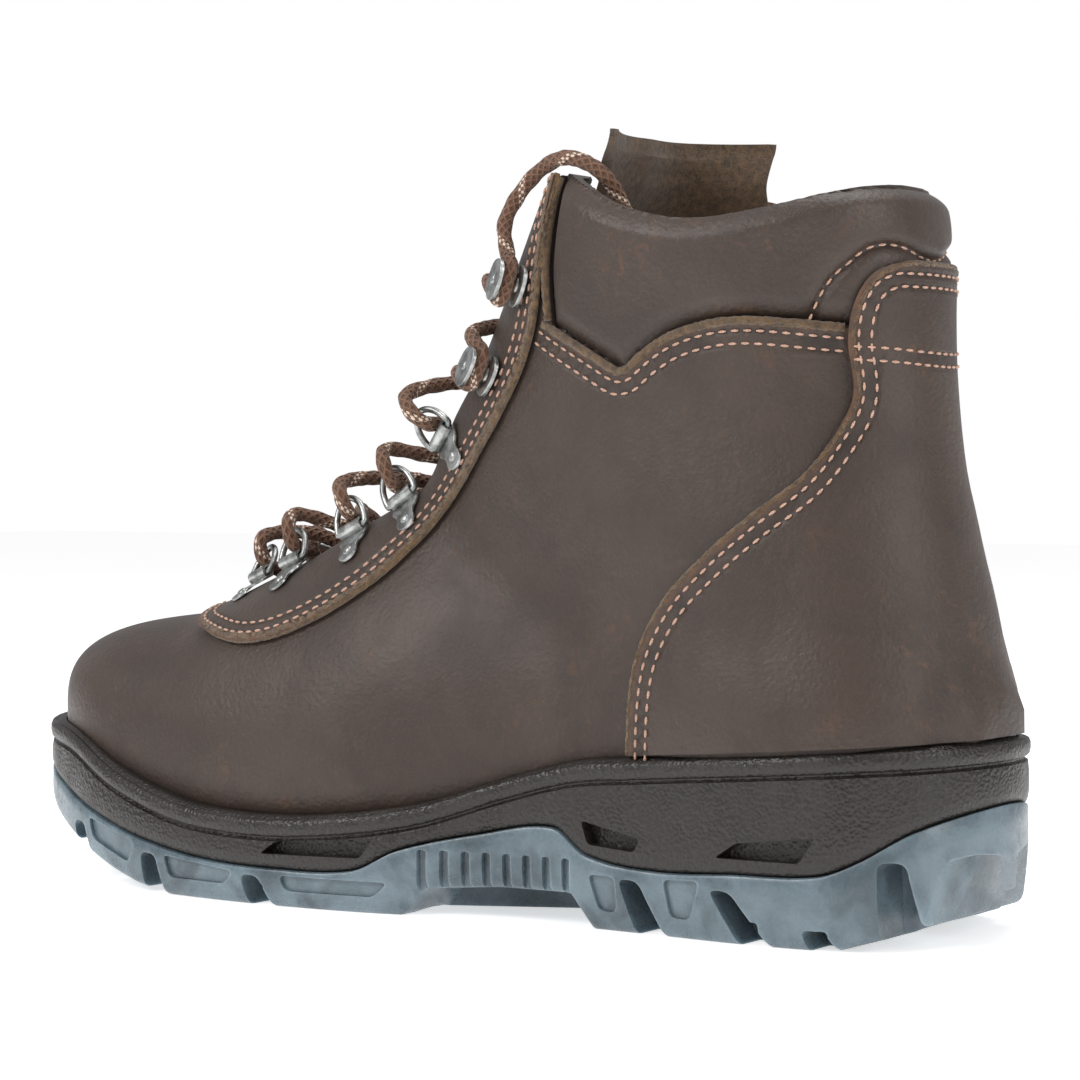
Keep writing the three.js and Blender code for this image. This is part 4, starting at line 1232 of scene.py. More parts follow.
@dataclass
class Upper:
    """Vamp and quarters, facing, heel counter panel, lining and footbed."""

    rows: list[np.ndarray]
    body: str = "boot"
    seam_gap: float = 0.5
    footbed_thick: float = 5.0

    def quarter_outline(self) -> list[tuple[float, float]]:
        """Side view of everything below the collar."""
        return side_region([(-FAR, -20), (FAR, -20)], [(FAR, 147), (152, 147)], SEAM_REAR[::-1],
                           SEAM_FRONT[::-1],
                           [(37, 171), (38.5, QUARTER_TOP)], [(-FAR, QUARTER_TOP), (-FAR, 0)])

    def edges(self, piece: bpy.types.Object, *outlines: Sequence[Sequence[float]]) -> None:
        """Marks how far each point lies from the panel's edges, in side view, and from the sewn rows.

        Args:
            piece: the panel.
            outlines: its edges, as corners [y, z].
        """
        spots = corners(piece)
        mark(piece, "edge", distance(spots[:, 1:], [spline(o, 0.6) for o in outlines]))
        # The distance from the sewn rows also darkens the hide along them as painted shade.
        mark(piece, "sewn", nearest(spots, self.rows))

    def vamp(self) -> bpy.types.Object:
        """The leather from the toe to the collar seam, without what the sole hides."""
        shell = carve(solid(0.0), Cut.AWAY, solid(-LEATHER, *COARSE))
        under = prism([(-158, -20), (158, -20), (158, 40.5), (70, 38.5), (32, 31), (0, 23), (-44, 19.5),
                       (-95, 26),
                       (-150, 39)], -24, 24)
        carve(shell, Cut.KEEP, prism(self.quarter_outline(), -SPAN, SPAN))
        carve(shell, Cut.AWAY, throat_prism(), under)
        shell.name = "vamp_leather"
        self.edges(shell, SEAM_FRONT, SEAM_REAR)
        dress(shell, UPPER_HIDE, self.body, ["vamp_and_quarters"])
        return shell

    def facing(self) -> bpy.types.Object:
        """The panel that carries the rings and hooks."""
        shell = carve(solid(OVERLAY), Cut.AWAY, solid(LAYER_GAP, *COARSE))
        outline = side_region(FACING_EDGE, FACING_TOP, [(-FAR, QUARTER_TOP), (-FAR, 80)])
        carve(shell, Cut.KEEP, prism(outline, -SPAN, SPAN))
        carve(shell, Cut.AWAY, throat_prism())
        shell.name = "facing_leather"
        self.edges(shell, [*FACING_EDGE, *FACING_TOP])
        dress(shell, UPPER_HIDE, self.body, ["facing"])
        return shell

    def counter(self) -> bpy.types.Object:
        """The panel round the heel, up to its lobe behind the collar."""
        shell = carve(solid(OVERLAY), Cut.AWAY, solid(LAYER_GAP, *COARSE))
        outline = side_region(COUNTER_EDGE, [(FAR, 167.5), (FAR, 30)])
        carve(shell, Cut.KEEP, prism(outline, -SPAN, SPAN))
        carve(shell, Cut.AWAY, prism(feather_region(), -SPAN, SPAN))
        shell.name = "counter_leather"
        self.edges(shell, COUNTER_EDGE)
        dress(shell, UPPER_HIDE, self.body, ["heel_counter_panel"])
        return shell

    def lining(self) -> bpy.types.Object:
        """The fabric inside."""
        shell = carve(solid(LINING_FACE + LINING_WALL, *MEDIUM), Cut.AWAY, solid(LINING_FACE, *MEDIUM))
        carve(shell, Cut.KEEP, prism(self.quarter_outline(), -SPAN, SPAN))
        carve(shell, Cut.AWAY, throat_prism(self.seam_gap))
        shell.name = "lining_cloth"
        dress(shell, LINING_CLOTH, self.body, ["lining"])
        return shell

    def footbed(self) -> bpy.types.Object:
        """The loose insole."""
        y = np.linspace(-END, END, 120)
        top = -LINING_FACE + LAYER_GAP + self.footbed_thick
        outline = [*zip(y, LAST.bottom(y) - 3), *zip(y[::-1], LAST.bottom(y[::-1]) + top)]
        bed = carve(solid(LINING_FACE - LAYER_GAP, *MEDIUM), Cut.KEEP, prism(outline, -SPAN, SPAN))
        bed.name = "insole"
        dress(bed, FOOTBED_CLOTH, self.body, ["footbed"])
        return bed

    def build(self) -> None:
        """Builds every panel."""
        self.vamp()
        self.facing()
        self.counter()
        self.lining()
        self.footbed()


COLLAR_ARC = [(27, 113.4, 153.5), (26.6, 116, 159), (25.3, 119.4, 164), (23.4, 122.5, 167), (21, 125.4, 170),
              (18, 128, 171.3), (13, 131, 171.2), (4.5, 133.2, 168.7), (0, 133.5, 168.3)]
COUNTER_BAND = [(23, 124.5, 146.4), (15.3, 132, 145.8), (8, 135, 145.2), (0, 136.5, 145)]


def mirrored(points: Sequence[Sequence[float]]) -> np.ndarray:
    """A line on the outer side, run on over the middle to the inner side."""
    outer = np.array(points, float)
    return spline(np.vstack([outer, outer[-2::-1] * (-1, 1, 1)]), 0.8)


@dataclass
class Collar:
    """The padded collar round the top of the shaft."""

    thick: float = 8.0
    round_edge: float = 6.0
    swell: float = 0.78
    furrow: float = 1.7
    furrow_width: float = 1.6
    skin_gap: float = 0.02
    rows: int = 90
    columns: int = 300

    def outline(self) -> list[tuple[float, float]]:
        """Side view of the collar."""
        gap = 0.5
        top = [(y + gap, z) for y, z in COLLAR_TOP]
        seam = [(y + gap, z + gap) for y, z in (*SEAM_FRONT, *SEAM_REAR)]
        return side_region([(38.3, 153.6), (36.6, 171), (38.4, 193)], top, [(FAR, 190), (FAR, 147)],
                           seam[::-1][:-3],
                           seam[:3][::-1])

    def build(self) -> bpy.types.Object:
        """Two skins that swell apart from a rolled edge, with a sewn furrow."""
        s = np.linspace(2.75, 4, self.rows)[:, None]
        t = np.linspace(0, 2 * math.pi, self.columns, endpoint=False)[None]
        skin = LAST.skin(s, t)
        away = distance(skin[..., 1:].reshape(-1, 2), [np.array(self.outline())], self.round_edge)
        share = np.clip(away / self.round_edge, 0, 1).reshape(skin.shape[:2])
        roll = np.sqrt(1 - (1 - share) ** 2)
        crown = smoothstep(share, 0.3, 1.0) * self.swell
        arc = LAST.onto(mirrored(COLLAR_ARC), 0.0)
        groove = nearest(skin.reshape(-1, 3), [arc]).reshape(skin.shape[:2])
        dent = self.furrow * np.exp(-(groove / self.furrow_width) ** 2)
        middle = -self.thick / 2
        outer = LAST.onto(skin, middle * (1 - roll) + crown - dent)
        inner = LAST.onto(skin, middle * (1 + roll) - self.skin_gap)
        made = surface("collar_pad", np.concatenate([outer, inner[::-1]]), around=True, along=True)
        carve(made, Cut.KEEP, prism(self.outline(), -SPAN, SPAN))
        spots = corners(made)
        mark(made, "edge", np.full(len(spots), UNMARKED))
        # The distance from the furrow's stitches also darkens the collar along it as painted shade.
        mark(made, "sewn", nearest(spots, [LAST.onto(arc, -0.9)]))
        dress(made, COLLAR_HIDE, "boot", ["collar"])
        return made


@dataclass
class Tongue:
    """The tongue, leather outside and raw suede inside."""

    start: float = 1.22
    end: float = 3.96
    half_foot: float = 0.62
    half_shaft: float = 0.78
    lean: float = 8.0
    gap: float = 1.4
    collar_room: float = 1.9
    flare_from: float = 3.72
    flare_turn: float = 0.5
    flare_out: float = 5.0
    wing_from: float = 3.2
    wing_to: float = 3.6
    wing_turn: float = 1.05
    wall: float = 3.0
    collar_depth: float = 8.0
    rim_bulge: float = 0.6
    hide_from: float = 0.35

    def half(self, s: np.ndarray, w: np.ndarray) -> np.ndarray:
        """Half the tongue's angle round the spine: each edge spreads above the collar.

        Args:
            s: place along the boot.
            w: place across the tongue, -1 to 1.

        Returns:
            The angle.
        """
        grown = smoothstep(s, self.start, 3)
        half = self.half_foot * (1 - grown) + self.half_shaft * grown
        wing = self.wing_turn * smoothstep(s, self.wing_from, self.wing_to)
        flare = self.flare_turn * smoothstep(s, self.flare_from, self.end)
        return half + np.where(w < 0, wing, flare)

    def build(self) -> bpy.types.Object:
        """A strip that leans into the shaft towards its top."""
        s = np.linspace(self.start, self.end, 170)[:, None]
        w = np.linspace(-1, 1, 70)[None]
        outer = LINING_FACE - self.gap
        leaning = self.lean * smoothstep(s, 2.9, self.end) * (1 - w * w)
        beside = (self.collar_depth + self.collar_room + outer) * smoothstep(s, 2.4, 2.8)
        flare = self.flare_out * smoothstep(s, self.flare_from, self.end) * w * w
        level = outer - (leaning + beside - flare)
        turn = w * self.half(s, w)
        face = LAST.layer(s, turn, level)
        back = LAST.layer(s, turn, level - self.wall)
        rim = (face + back) / 2
        far_rim = rim[:, -1:] + (face[:, -1:] - face[:, -2:-1]) * self.rim_bulge
        near_rim = rim[:, :1] + (face[:, :1] - face[:, 1:2]) * self.rim_bulge
        loop = np.concatenate([face, far_rim, back[:, ::-1], near_rim], axis=1)
        made = surface("tongue_leather", loop, around=True, capped=True)
        dress(made, TONGUE_SUEDE, "tongue", ["tongue"])
        made.data.materials.append(TONGUE_HIDE.material())
        for name in ("edge", "sewn"):
            mark(made, name, np.full(len(made.data.vertices), UNMARKED))
        spots = np.array([tuple(face.center) for face in made.data.polygons]) / MM
        facing = np.array([tuple(face.normal) for face in made.data.polygons])
        outward = np.einsum("ij,ij->i", LAST.normal(spots), facing) > self.hide_from
        made.data.polygons.foreach_set("material_index", outward.astype(np.int32))
        return made


# ---------------------------------------------------------------- trims
@dataclass
class Trims:
    """Raw suede edge strips and rows of stitches."""

    height: float = 2.2
    ragged: float = 0.13
    sides: int = 12
    pitch: float = 3.3
    dash: float = 2.35
    thread: float = 0.78
    proud: float = 0.15
    seams: list[np.ndarray] = field(default_factory=list)

    def strip(self, line: np.ndarray, width: float) -> bpy.types.Object:
        """A ragged strip that stands on a line on the last.

        Args:
            line: the course of its underside.
            width: how wide it is.

        Returns:
            The strip.
        """
        _, across, out = frames(line)
        random = np.random.default_rng(7)
        ring = []
        for a in np.linspace(0, 2 * math.pi, self.sides, endpoint=False):
            uneven = 1 + random.uniform(-self.ragged, self.ragged, len(line))
            side = width / 2 * math.cos(a)
            lift = self.height / 2 * (1 + math.sin(a))
            ring.append(line + across * (side * uneven)[:, None] + out * (lift * uneven)[:, None])
        return surface("strip", np.stack(ring, axis=1), around=True, capped=True)

    def sew(self, line: np.ndarray) -> None:
        """Keeps a line to be sewn with one row of stitches."""
        self.seams.append(even(line, self.pitch))

    def stitches(self) -> bpy.types.Object:
        """All stitches as one piece."""
        rows = []
        size = Matrix.Diagonal((self.dash / 2, self.thread / 2, self.thread / 2, 1))
        for line in self.seams:
            bm = bmesh.new()
            for p, a, b, c in zip(line, *frames(line)):
                turn = Matrix((*[(a[i], b[i], c[i], p[i]) for i in range(3)], (0, 0, 0, 1)))
                bmesh.ops.create_uvsphere(bm, u_segments=6, v_segments=5, radius=1.0, matrix=turn @ size)
            bmesh.ops.recalc_face_normals(bm, faces=bm.faces)
            rows.append(from_bmesh("row", bm, math.radians(180)))
        made = join("stitches", rows)
        dress(made, SEAM_THREAD)
        return made

    def double(self, outline: Sequence[Sequence[float]], level: float, way: float) -> None:
        """Two rows beside an outline on both sides of the boot.

        Args:
            outline: corners [y, z].
            level: layer that is sewn through.
            way: 1 or -1, the side of the outline.
        """
        for side in (1.0, -1.0):
            edge = on_last(outline, side, level)
            for row in Row:
                self.sew(beside_line(edge, way * side * row.value, level + self.proud))

    def build(self) -> None:
        """Lays strips, then sews."""
        strips = []
        for side in (1.0, -1.0):
            facing_edge = on_last([*FACING_EDGE, *FACING_TOP], side, LAYER_GAP)
            strips.append(self.strip(facing_edge, 3.4))
            strips.append(self.strip(on_last(self.seam(), side, -1.4), 2.3))
            front_edge = on_last([(38.5, 155), (37.0, 171), (38.8, 192)], side, -0.8)
            strips.append(self.strip(front_edge, 2.0))
        strips.append(self.strip(self.over_heel(LAYER_GAP), 1.7))
        made = join("edge_strips", strips)
        dress(made, RAW_EDGE)
        self.stitches()

    @staticmethod
    def seam() -> list[tuple[float, float]]:
        """The seam under the collar, from the facing to the counter panel."""
        front = spline([(36.5, 154.2), *SEAM_FRONT[1:]], 0.8)
        line = np.vstack([front, spline(SEAM_REAR[:6], 0.8)[1:]])
        return [tuple(p) for p in line]

    @staticmethod
    def over_heel(level: float) -> np.ndarray:
        """The counter panel's edge: up one side, over the lobe behind the collar and down the other.

        Args:
            level: layer that it is laid on.

        Returns:
            The line.
        """
        outer, inner = (on_last(COUNTER_EDGE[1:], side, level) for side in (1.0, -1.0))
        x = np.linspace(outer[-1, 0], inner[-1, 0], 40)[1:-1]
        bridge = LAST.onto(np.column_stack([x, np.full_like(x, 137.0), np.full_like(x, 167.5)]), level)
        bridge[:, 2] = outer[-1, 2]
        return even(np.vstack([outer, bridge, inner[::-1]]), 0.8)

    def plan(self) -> list[np.ndarray]:
        """Lays out every sewn row, before the panels are made."""
        self.double([*FACING_EDGE, *FACING_TOP], OVERLAY, 1.0)
        self.double(self.seam(), 0.0, -1.0)
        for row in Row:
            self.sew(beside_line(self.over_heel(OVERLAY), -row.value, OVERLAY + self.proud))
        for drop in (0.0, Row.SECOND.value - Row.FIRST.value):
            band = mirrored(COUNTER_BAND) - (0, 0, drop)
            self.sew(LAST.onto(band, OVERLAY + self.proud))
        self.sew(LAST.onto(mirrored(COLLAR_ARC), -0.8))
        return [even(row, 0.7) for row in self.seams]


# ---------------------------------------------------------------- sole
def plan_loop(count: int = 420) -> tuple[np.ndarray, np.ndarray]:
    """The sole's outline in plan, evenly spaced, and its inward directions."""
    line = spline(PLAN, 1.0, closed=True)
    closed = np.vstack([line, line[:1]])
    line = even(closed, np.linalg.norm(np.diff(closed, axis=0), axis=1).sum() / count, closed=True)
    tangent = np.roll(line, -1, 0) - np.roll(line, 1, 0)
    tangent /= np.linalg.norm(tangent, axis=1, keepdims=True)
    return line, np.column_stack([-tangent[:, 1], tangent[:, 0]])


def plan_solid(inset: float, low: float, high: float) -> bpy.types.Object:
    """A prism of the sole's plan, drawn in by an inset.

    Args:
        inset: how far it is drawn in.
        low: its underside.
        high: its top.

    Returns:
        The prism.
    """
    line, inward = plan_loop(200)
    loop = line + inward * inset
    rows = [np.column_stack([loop, np.full(len(loop), z)]) for z in (low, high)]
    return surface("cutter", np.stack(rows), around=True, capped=True)


def raised(curve: Curve, by: float) -> Curve:
    """A curve lifted by a height."""
    return lambda y: curve(y) + by


def between(low: Curve, high: Curve, share: float) -> Curve:
    """A curve that lies a share of the way from one curve up to another."""
    return lambda y: low(y) * (1 - share) + high(y) * share


def ground(y: np.ndarray | float) -> np.ndarray:
    """Height of the tread's underside."""
    return np.interp(y, *zip(*GROUND))


@dataclass
class Sole:
    """Midsole and outsole."""

    core: float = 22.0
    groove_depth: float = 6.0
    notch_depth: float = 11.0
    window_depth: float = 4.0
    flute_depth: float = 1.6
    panel_depth: float = 1.1
    flutes: int = 8
    flute_pitch: float = 5.8
    flute_half: float = 1.2
    waist: float = 30.0
    bed_gap: float = 0.4

    def wall(self, name: str, steps: Sequence[tuple[float, Curve]]) -> bpy.types.Object:
        """A solid whose side follows the plan; each step gives an inset and a height over y.

        Args:
            name: the solid's name.
            steps: an inset from the plan and a height over y, from the bottom up.

        Returns:
            The solid.
        """
        line, inward = plan_loop()
        rows = []
        for inset, height in steps:
            loop = line + inward * inset
            rows.append(np.column_stack([loop, height(line[:, 1] + inward[:, 1] * inset)]))
        return surface(name, np.stack(rows), around=True, capped=True)

    def midsole(self) -> bpy.types.Object:
        """Stippled foam with a smooth lip, a dark groove and three windows on each side."""
        low, groove = raised(PARTING, LAYER_GAP), raised(FEATHER, -6.4)
        steps = [(self.core, low), (9.0, low), (1.2, low), (0.5, raised(low, 0.5)), (0.1, raised(low, 1.4))]
        steps += [(-0.15 * math.sin(math.pi * k), between(low, groove, k)) for k in (0.25, 0.5, 0.75)]
        lip = [(0.15, -6.6), (0.7, -6.3), (1.0, -5.9), (0.9, -5.5), (0.2, -5.2), (-0.3, -4.7), (-0.55, -3.4),
               (-0.5, -2.0), (-0.1, -1.1), (0.6, -0.7), (1.1, -0.9), (1.5, -0.9), (2.0, -0.3), (2.8, 0.1),
               (3.8, 0.2), (5.2, 0.0), (9.0, 0.0), (self.core, 0.0)]
        made = self.wall("midsole", steps + [(inset, raised(FEATHER, by)) for inset, by in lip])
        for hole in WINDOWS:
            window = prism(self.rounded(hole, 1.3), -SPAN, SPAN)
            carve(window, Cut.AWAY, plan_solid(self.window_depth, -10, 70))
            carve(made, Cut.AWAY, window)
        carve(made, Cut.AWAY, solid(self.bed_gap, 140, 120))
        made.name = "midsole_foam"
        dress(made, MIDSOLE_FOAM, "boot", ["midsole"])
        return made

    @staticmethod
    def rounded(outline: Sequence[Sequence[float]], radius: float) -> list[tuple[float, float]]:
        """An outline with its corners rounded.

        Args:
            outline: corners.
            radius: how far from a corner its round starts.

        Returns:
            The new corners.
        """
        made = []
        count = len(outline)
        for i, corner in enumerate(outline):
            p = np.array(corner, float)
            a = np.array(outline[i - 1], float) - p
            b = np.array(outline[(i + 1) % count], float) - p
            cut = min(radius, np.linalg.norm(a) / 2.2, np.linalg.norm(b) / 2.2)
            start, end = p + a / np.linalg.norm(a) * cut, p + b / np.linalg.norm(b) * cut
            for k in np.linspace(0, 1, 5):
                made.append(tuple((1 - k) ** 2 * start + 2 * k * (1 - k) * p + k * k * end))
        return made

    def outsole(self) -> bpy.types.Object:
        """Translucent lugs with deep gaps between them, inset panels and a fluted waist."""
        top = [(self.core, 0), (8.0, 0), (1.0, 0), (0.3, -0.3), (0.0, -0.9)]
        side = [(0.0, 0.7), (-0.1, 0.5), (0.0, 0.3)]
        foot = [(0.3, 1.6), (0.9, 0.7), (1.9, 0.1), (3.0, 0), (8.0, 0), (self.core, 0)]
        steps = [(inset, raised(PARTING, by)) for inset, by in top]
        steps += [(inset, between(ground, PARTING, share)) for inset, share in side]
        steps += [(inset, raised(ground, by)) for inset, by in foot]
        made = self.wall("outsole", steps)
        for (top_y, top_z), (foot_y, foot_z) in LUG_GAPS:
            half, below = 3.0, 8
            slope = (foot_y - top_y) / (top_z - foot_z)
            low_y, low_z = foot_y + slope * below, foot_z - below
            wide = [(top_y - half, top_z), (top_y + half, top_z), (low_y + half + 2, low_z),
                    (low_y - half - 2, low_z)]
            notch = prism(self.rounded(wide, 2.4), -SPAN, SPAN)
            carve(notch, Cut.AWAY, plan_solid(self.notch_depth, -30, 60))
            deep = min(self.groove_depth, top_z - foot_z)
            groove = [(foot_y - 2.5, low_z), (foot_y + 2.5, low_z), (foot_y + 1.0, foot_z + deep),
                      (foot_y - 2.5, foot_z + deep)]
            carve(made, Cut.AWAY, notch, prism(self.rounded(groove, 1.2), -SPAN, SPAN))
        flutes = []
        for i in range(self.flutes):
            y = self.waist + (i - (self.flutes - 1) / 2) * self.flute_pitch
            front, back, top_z = y - self.flute_half, y + self.flute_half, 17.5
            outline = [(front, 0), (back, 0), (back, top_z), (front, top_z)]
            flutes.append(prism(self.rounded(outline, 0.9), -SPAN, SPAN))
        for flute in flutes:
            carve(flute, Cut.AWAY, plan_solid(self.flute_depth, -20, 60))
        carve(made, Cut.AWAY, *flutes)
        for panel in self.panels():
            recess = prism(self.rounded(panel, 2.0), -SPAN, SPAN)
            carve(recess, Cut.AWAY, plan_solid(self.panel_depth, -20, 60))
            carve(made, Cut.AWAY, recess)
        made.name = "outsole_rubber"
        dress(made, OUTSOLE_RESIN, "boot", ["outsole"])
        return made

    def panels(self) -> list[list[tuple[float, float]]]:
        """Inset panels on the lugs' sides."""
        made = []
        for (top_a, foot_a), (top_b, foot_b) in zip(LUG_GAPS[:-1], LUG_GAPS[1:]):
            y0 = max(top_a[0], foot_a[0] - 2) + 6.5
            y1 = min(top_b[0], foot_b[0] + 2) - 6.5
            if y1 - y0 < 6 or (y0 < 40 < y1):
                continue
            foot = [float(ground(y)) + 5.0 for y in (y0 + 1.5, y1 - 1.5)]
            head = [float(PARTING(y)) - 1.6 for y in (y0, y1)]
            if min(head[0] - foot[0], head[1] - foot[1]) > 2:
                made.append([(y0 + 1.5, foot[0]), (y1 - 1.5, foot[1]), (y1 + 1, head[1]), (y0 - 1, head[0])])
        made.append([(-30, 4.5), (-3, 4.5), (1, 8.5), (-32, 8.5)])
        made.append([(60.5, 5), (66, 5), (65, 14), (57, 14)])
        return made

    def build(self) -> None:
        """Builds both layers."""
        self.midsole()
        self.outsole()


WINDOWS = [[(-38, 14), (-33, 17.5), (-3, 20), (-7, 14.5)], [(55, 27.5), (57, 21.5), (71, 20.5), (73, 24)],
           [(95, 21), (101, 25), (122, 27.5), (118, 21)]]
LUG_GAPS = [((-113, 17), (-111, 9)), ((-80, 11), (-77, 0.5)), ((-42, 8), (-38, 0)), ((69, 13.5), (76, 0)),
            ((96, 13), (106, 0)), ((121, 5), (124, 0)), ((139, 22), (141, 4)), ((152, 23), (150, 9))]


# ---------------------------------------------------------------- hardware
def seat(index: int, side: float) -> Matrix:
    """Frame of a station on the facing: x away from the lacing gap, y up the boot, z off the leather.

    Args:
        index: the station, 0 at the toe end.
        side: 1 for the outer side, -1 for the inner one.

    Returns:
        The frame.
    """
    def place(i: int) -> np.ndarray:
        """A station's point on the facing."""
        x, y, z = STATIONS[i]
        return LAST.onto(np.array([[side * x, y, z]]), OVERLAY, 12)[0]
    centre = place(index)
    normal = LAST.normal(centre[None])[0]
    up = place(min(index + 1, len(STATIONS) - 1)) - place(max(index - 1, 0))
    up -= normal * (up @ normal)
    up /= np.linalg.norm(up)
    out = np.cross(up, normal) * side
    return Matrix((*[(out[i], up[i], normal[i], centre[i]) for i in range(3)], (0, 0, 0, 1)))


@dataclass
class Hardware:
    """D rings in stamped clips, and speed hooks."""

    lift: float = 0.8
    wire: float = 1.8
    bore: float = 1.2
    sleeve: float = 1.9
    clip_length: float = 7.9
    leaf_wall: float = 0.7
    droop: float = 0.012
    bar_height: float = 2.7
    ring_half: float = 4.9
    tilt: float = 38.0

    def plate(self, bm: bmesh.types.BMesh, outline: Sequence[Sequence[float]], low: float, high: float,
              soft: float = 0.25) -> None:
        """A plate with softened rims, laid flat.

        Args:
            bm: what it is added to.
            outline: its corners.
            low: its underside.
            high: its top.
            soft: size of the softened rim.
        """
        face = bm.faces.new([bm.verts.new((a, b, low)) for a, b in outline])
        grown = bmesh.ops.extrude_face_region(bm, geom=[face])["geom"]
        top = [g for g in grown if isinstance(g, bmesh.types.BMVert)]
        bmesh.ops.translate(bm, vec=(0, 0, high - low), verts=top)
        rim = [e for e in bm.edges if e.is_valid and all(v in top for v in e.verts)]
        bmesh.ops.bevel(bm, geom=rim, offset=soft, segments=3, profile=0.5, affect="EDGES", material=-1)

    def rivet(self, bm: bmesh.types.BMesh, x: float, y: float, z: float, radius: float) -> None:
        """A domed rivet head."""
        turn = Matrix.Translation((x, y, z)) @ Matrix.Diagonal((radius, radius, radius * 0.45, 1))
        bmesh.ops.create_uvsphere(bm, u_segments=20, v_segments=10, radius=1.0, matrix=turn)

    def clip(self, name: str, where: Matrix) -> bpy.types.Object:
        """A sleeve round the ring's bar and a leaf-shaped tail riveted to the leather."""
        bm = bmesh.new()
        turns = np.linspace(0, 2 * math.pi, 24, endpoint=False)
        ring, hole = ([bm.verts.new((r * math.cos(a), -self.clip_length / 2,
                                     r * math.sin(a) + self.bar_height))
                       for a in turns] for r in (self.sleeve, self.bore))
        loops = [bm.edges.new((a, b)) for r in (ring, hole) for a, b in zip(r, r[1:] + r[:1])]
        faces = bmesh.ops.bridge_loops(bm, edges=loops)["faces"]
        grown = bmesh.ops.extrude_face_region(bm, geom=faces)["geom"]
        moved = [g for g in grown if isinstance(g, bmesh.types.BMVert)]
        bmesh.ops.translate(bm, vec=(0, self.clip_length, 0), verts=moved)
        leaf = [(-0.6, -4.3), (3.6, -4.5), (5.6, -3.3), (7.4, -2.9), (9.8, -3.2), (11.6, -1.9), (12.1, 0),
                (11.6, 1.9), (9.8, 3.2), (7.4, 2.9), (5.6, 3.3), (3.6, 4.5), (-0.6, 4.3)]
        outline = [tuple(p) for p in spline(leaf, 0.5)]
        self.plate(bm, outline, self.lift, self.lift + self.leaf_wall, 0.2)
        self.rivet(bm, 8.6, 0, self.lift + self.leaf_wall, 1.5)
        for corner in bm.verts:
            if corner.co.x > self.sleeve:
                corner.co.z -= self.droop * corner.co.x ** 2
        return self.place(bm, name.replace("ring_clip", "clip"), where, "boot", name)

    def ring(self, name: str, where: Matrix, body: str) -> bpy.types.Object:
        """The D of wire."""
        h = self.ring_half
        bow = [(0, -h), (-3, -1.02 * h), (-6, -0.86 * h), (-8.6, -0.45 * h), (-9.6, 0), (-8.6, 0.45 * h),
               (-6, 0.86 * h), (-3, 1.02 * h), (0, h), (0.25, h * 0.9), (0.25, 0), (0.25, -h * 0.9)]
        path = spline([(x, y, 0) for x, y in bow], 0.45, closed=True)
        along = np.roll(path, -1, 0) - np.roll(path, 1, 0)
        along /= np.linalg.norm(along, axis=1, keepdims=True)
        up = np.array([0, 0, 1.0])
        across = np.cross(up, along)
        a = np.linspace(0, 2 * math.pi, 14, endpoint=False)
        radius = self.wire / 2
        section = np.cos(a)[None, :, None] * across[:, None] + np.sin(a)[None, :, None] * up
        tube = path[:, None] + radius * section
        tilt = Matrix.Translation((0, 0, self.bar_height)) @ Matrix.Rotation(math.radians(self.tilt), 4, "Y")
        turn = np.array(where @ tilt)
        placed = tube @ turn[:3, :3].T + turn[:3, 3]
        made = surface(name.replace("lace_ring", "d_ring"), placed, around=True, along=True)
        dress(made, NICKEL, body, [name])
        return made

    def hook(self, name: str, where: Matrix) -> bpy.types.Object:
        """A riveted base, a narrow neck and a curled plate that holds the lace under it."""
        bm = bmesh.new()
        base = spline([(-1.8, -2.2), (0.5, -4.2), (3.5, -5.6), (7.0, -4.9), (8.4, -1.6), (8.4, 1.6),
                       (7.0, 4.9),
                       (3.5, 5.6), (0.5, 4.2), (-1.8, 2.2)], 0.6, closed=True)
        self.plate(bm, [tuple(p) for p in base], self.lift, self.lift + 1.0)
        top = spline([(-1.9, -2.4), (-0.5, -4.6), (2.4, -5.7), (5.2, -4.7), (6.5, -1.7), (6.5, 1.7),
                      (5.2, 4.7),
                      (2.4, 5.7), (-0.5, 4.6), (-1.9, 2.4)], 0.6, closed=True)
        self.plate(bm, [tuple(p) for p in top], self.lift + 6.0, self.lift + 7.0)
        self.plate(bm, [(-1.9, -2.2), (-0.7, -2.2), (-0.7, 2.2), (-1.9, 2.2)], self.lift + 0.4,
                   self.lift + 6.6, 0.1)
        self.rivet(bm, 3.6, 0, self.lift + 1.0, 2.1)
        self.rivet(bm, 2.3, 0, self.lift + 7.0, 1.3)
        return self.place(bm, name.replace("speed_hook", "hook"), where, "boot", name)

    def place(self, bm: bmesh.types.BMesh, name: str, where: Matrix, body: str,
              node: str) -> bpy.types.Object:
        """Moves a piece to its seat and dresses it.

        Args:
            bm: the piece, in its station's frame.
            name: its name.
            where: the station's frame.
            body: the body that it rides on.
            node: the CAD node that it stands for.

        Returns:
            The piece.
        """
        bmesh.ops.transform(bm, matrix=where, verts=bm.verts)
        bmesh.ops.recalc_face_normals(bm, faces=bm.faces)
        made = from_bmesh(name, bm)
        dress(made, NICKEL, body, [node])
        return made

    def build(self) -> None:
        """Places every station on both sides."""
        for side, label in ((1.0, "outer"), (-1.0, "inner")):
            for index in range(len(STATIONS)):
                where = seat(index, side)
                tag = f"{label}_{index + 1}"
                if index < RING_COUNT:
                    self.clip(f"ring_clip_{tag}", where)
                    self.ring(f"lace_ring_{tag}", where, f"ring_{tag}")
                else:
                    self.hook(f"speed_hook_{tag}", where)


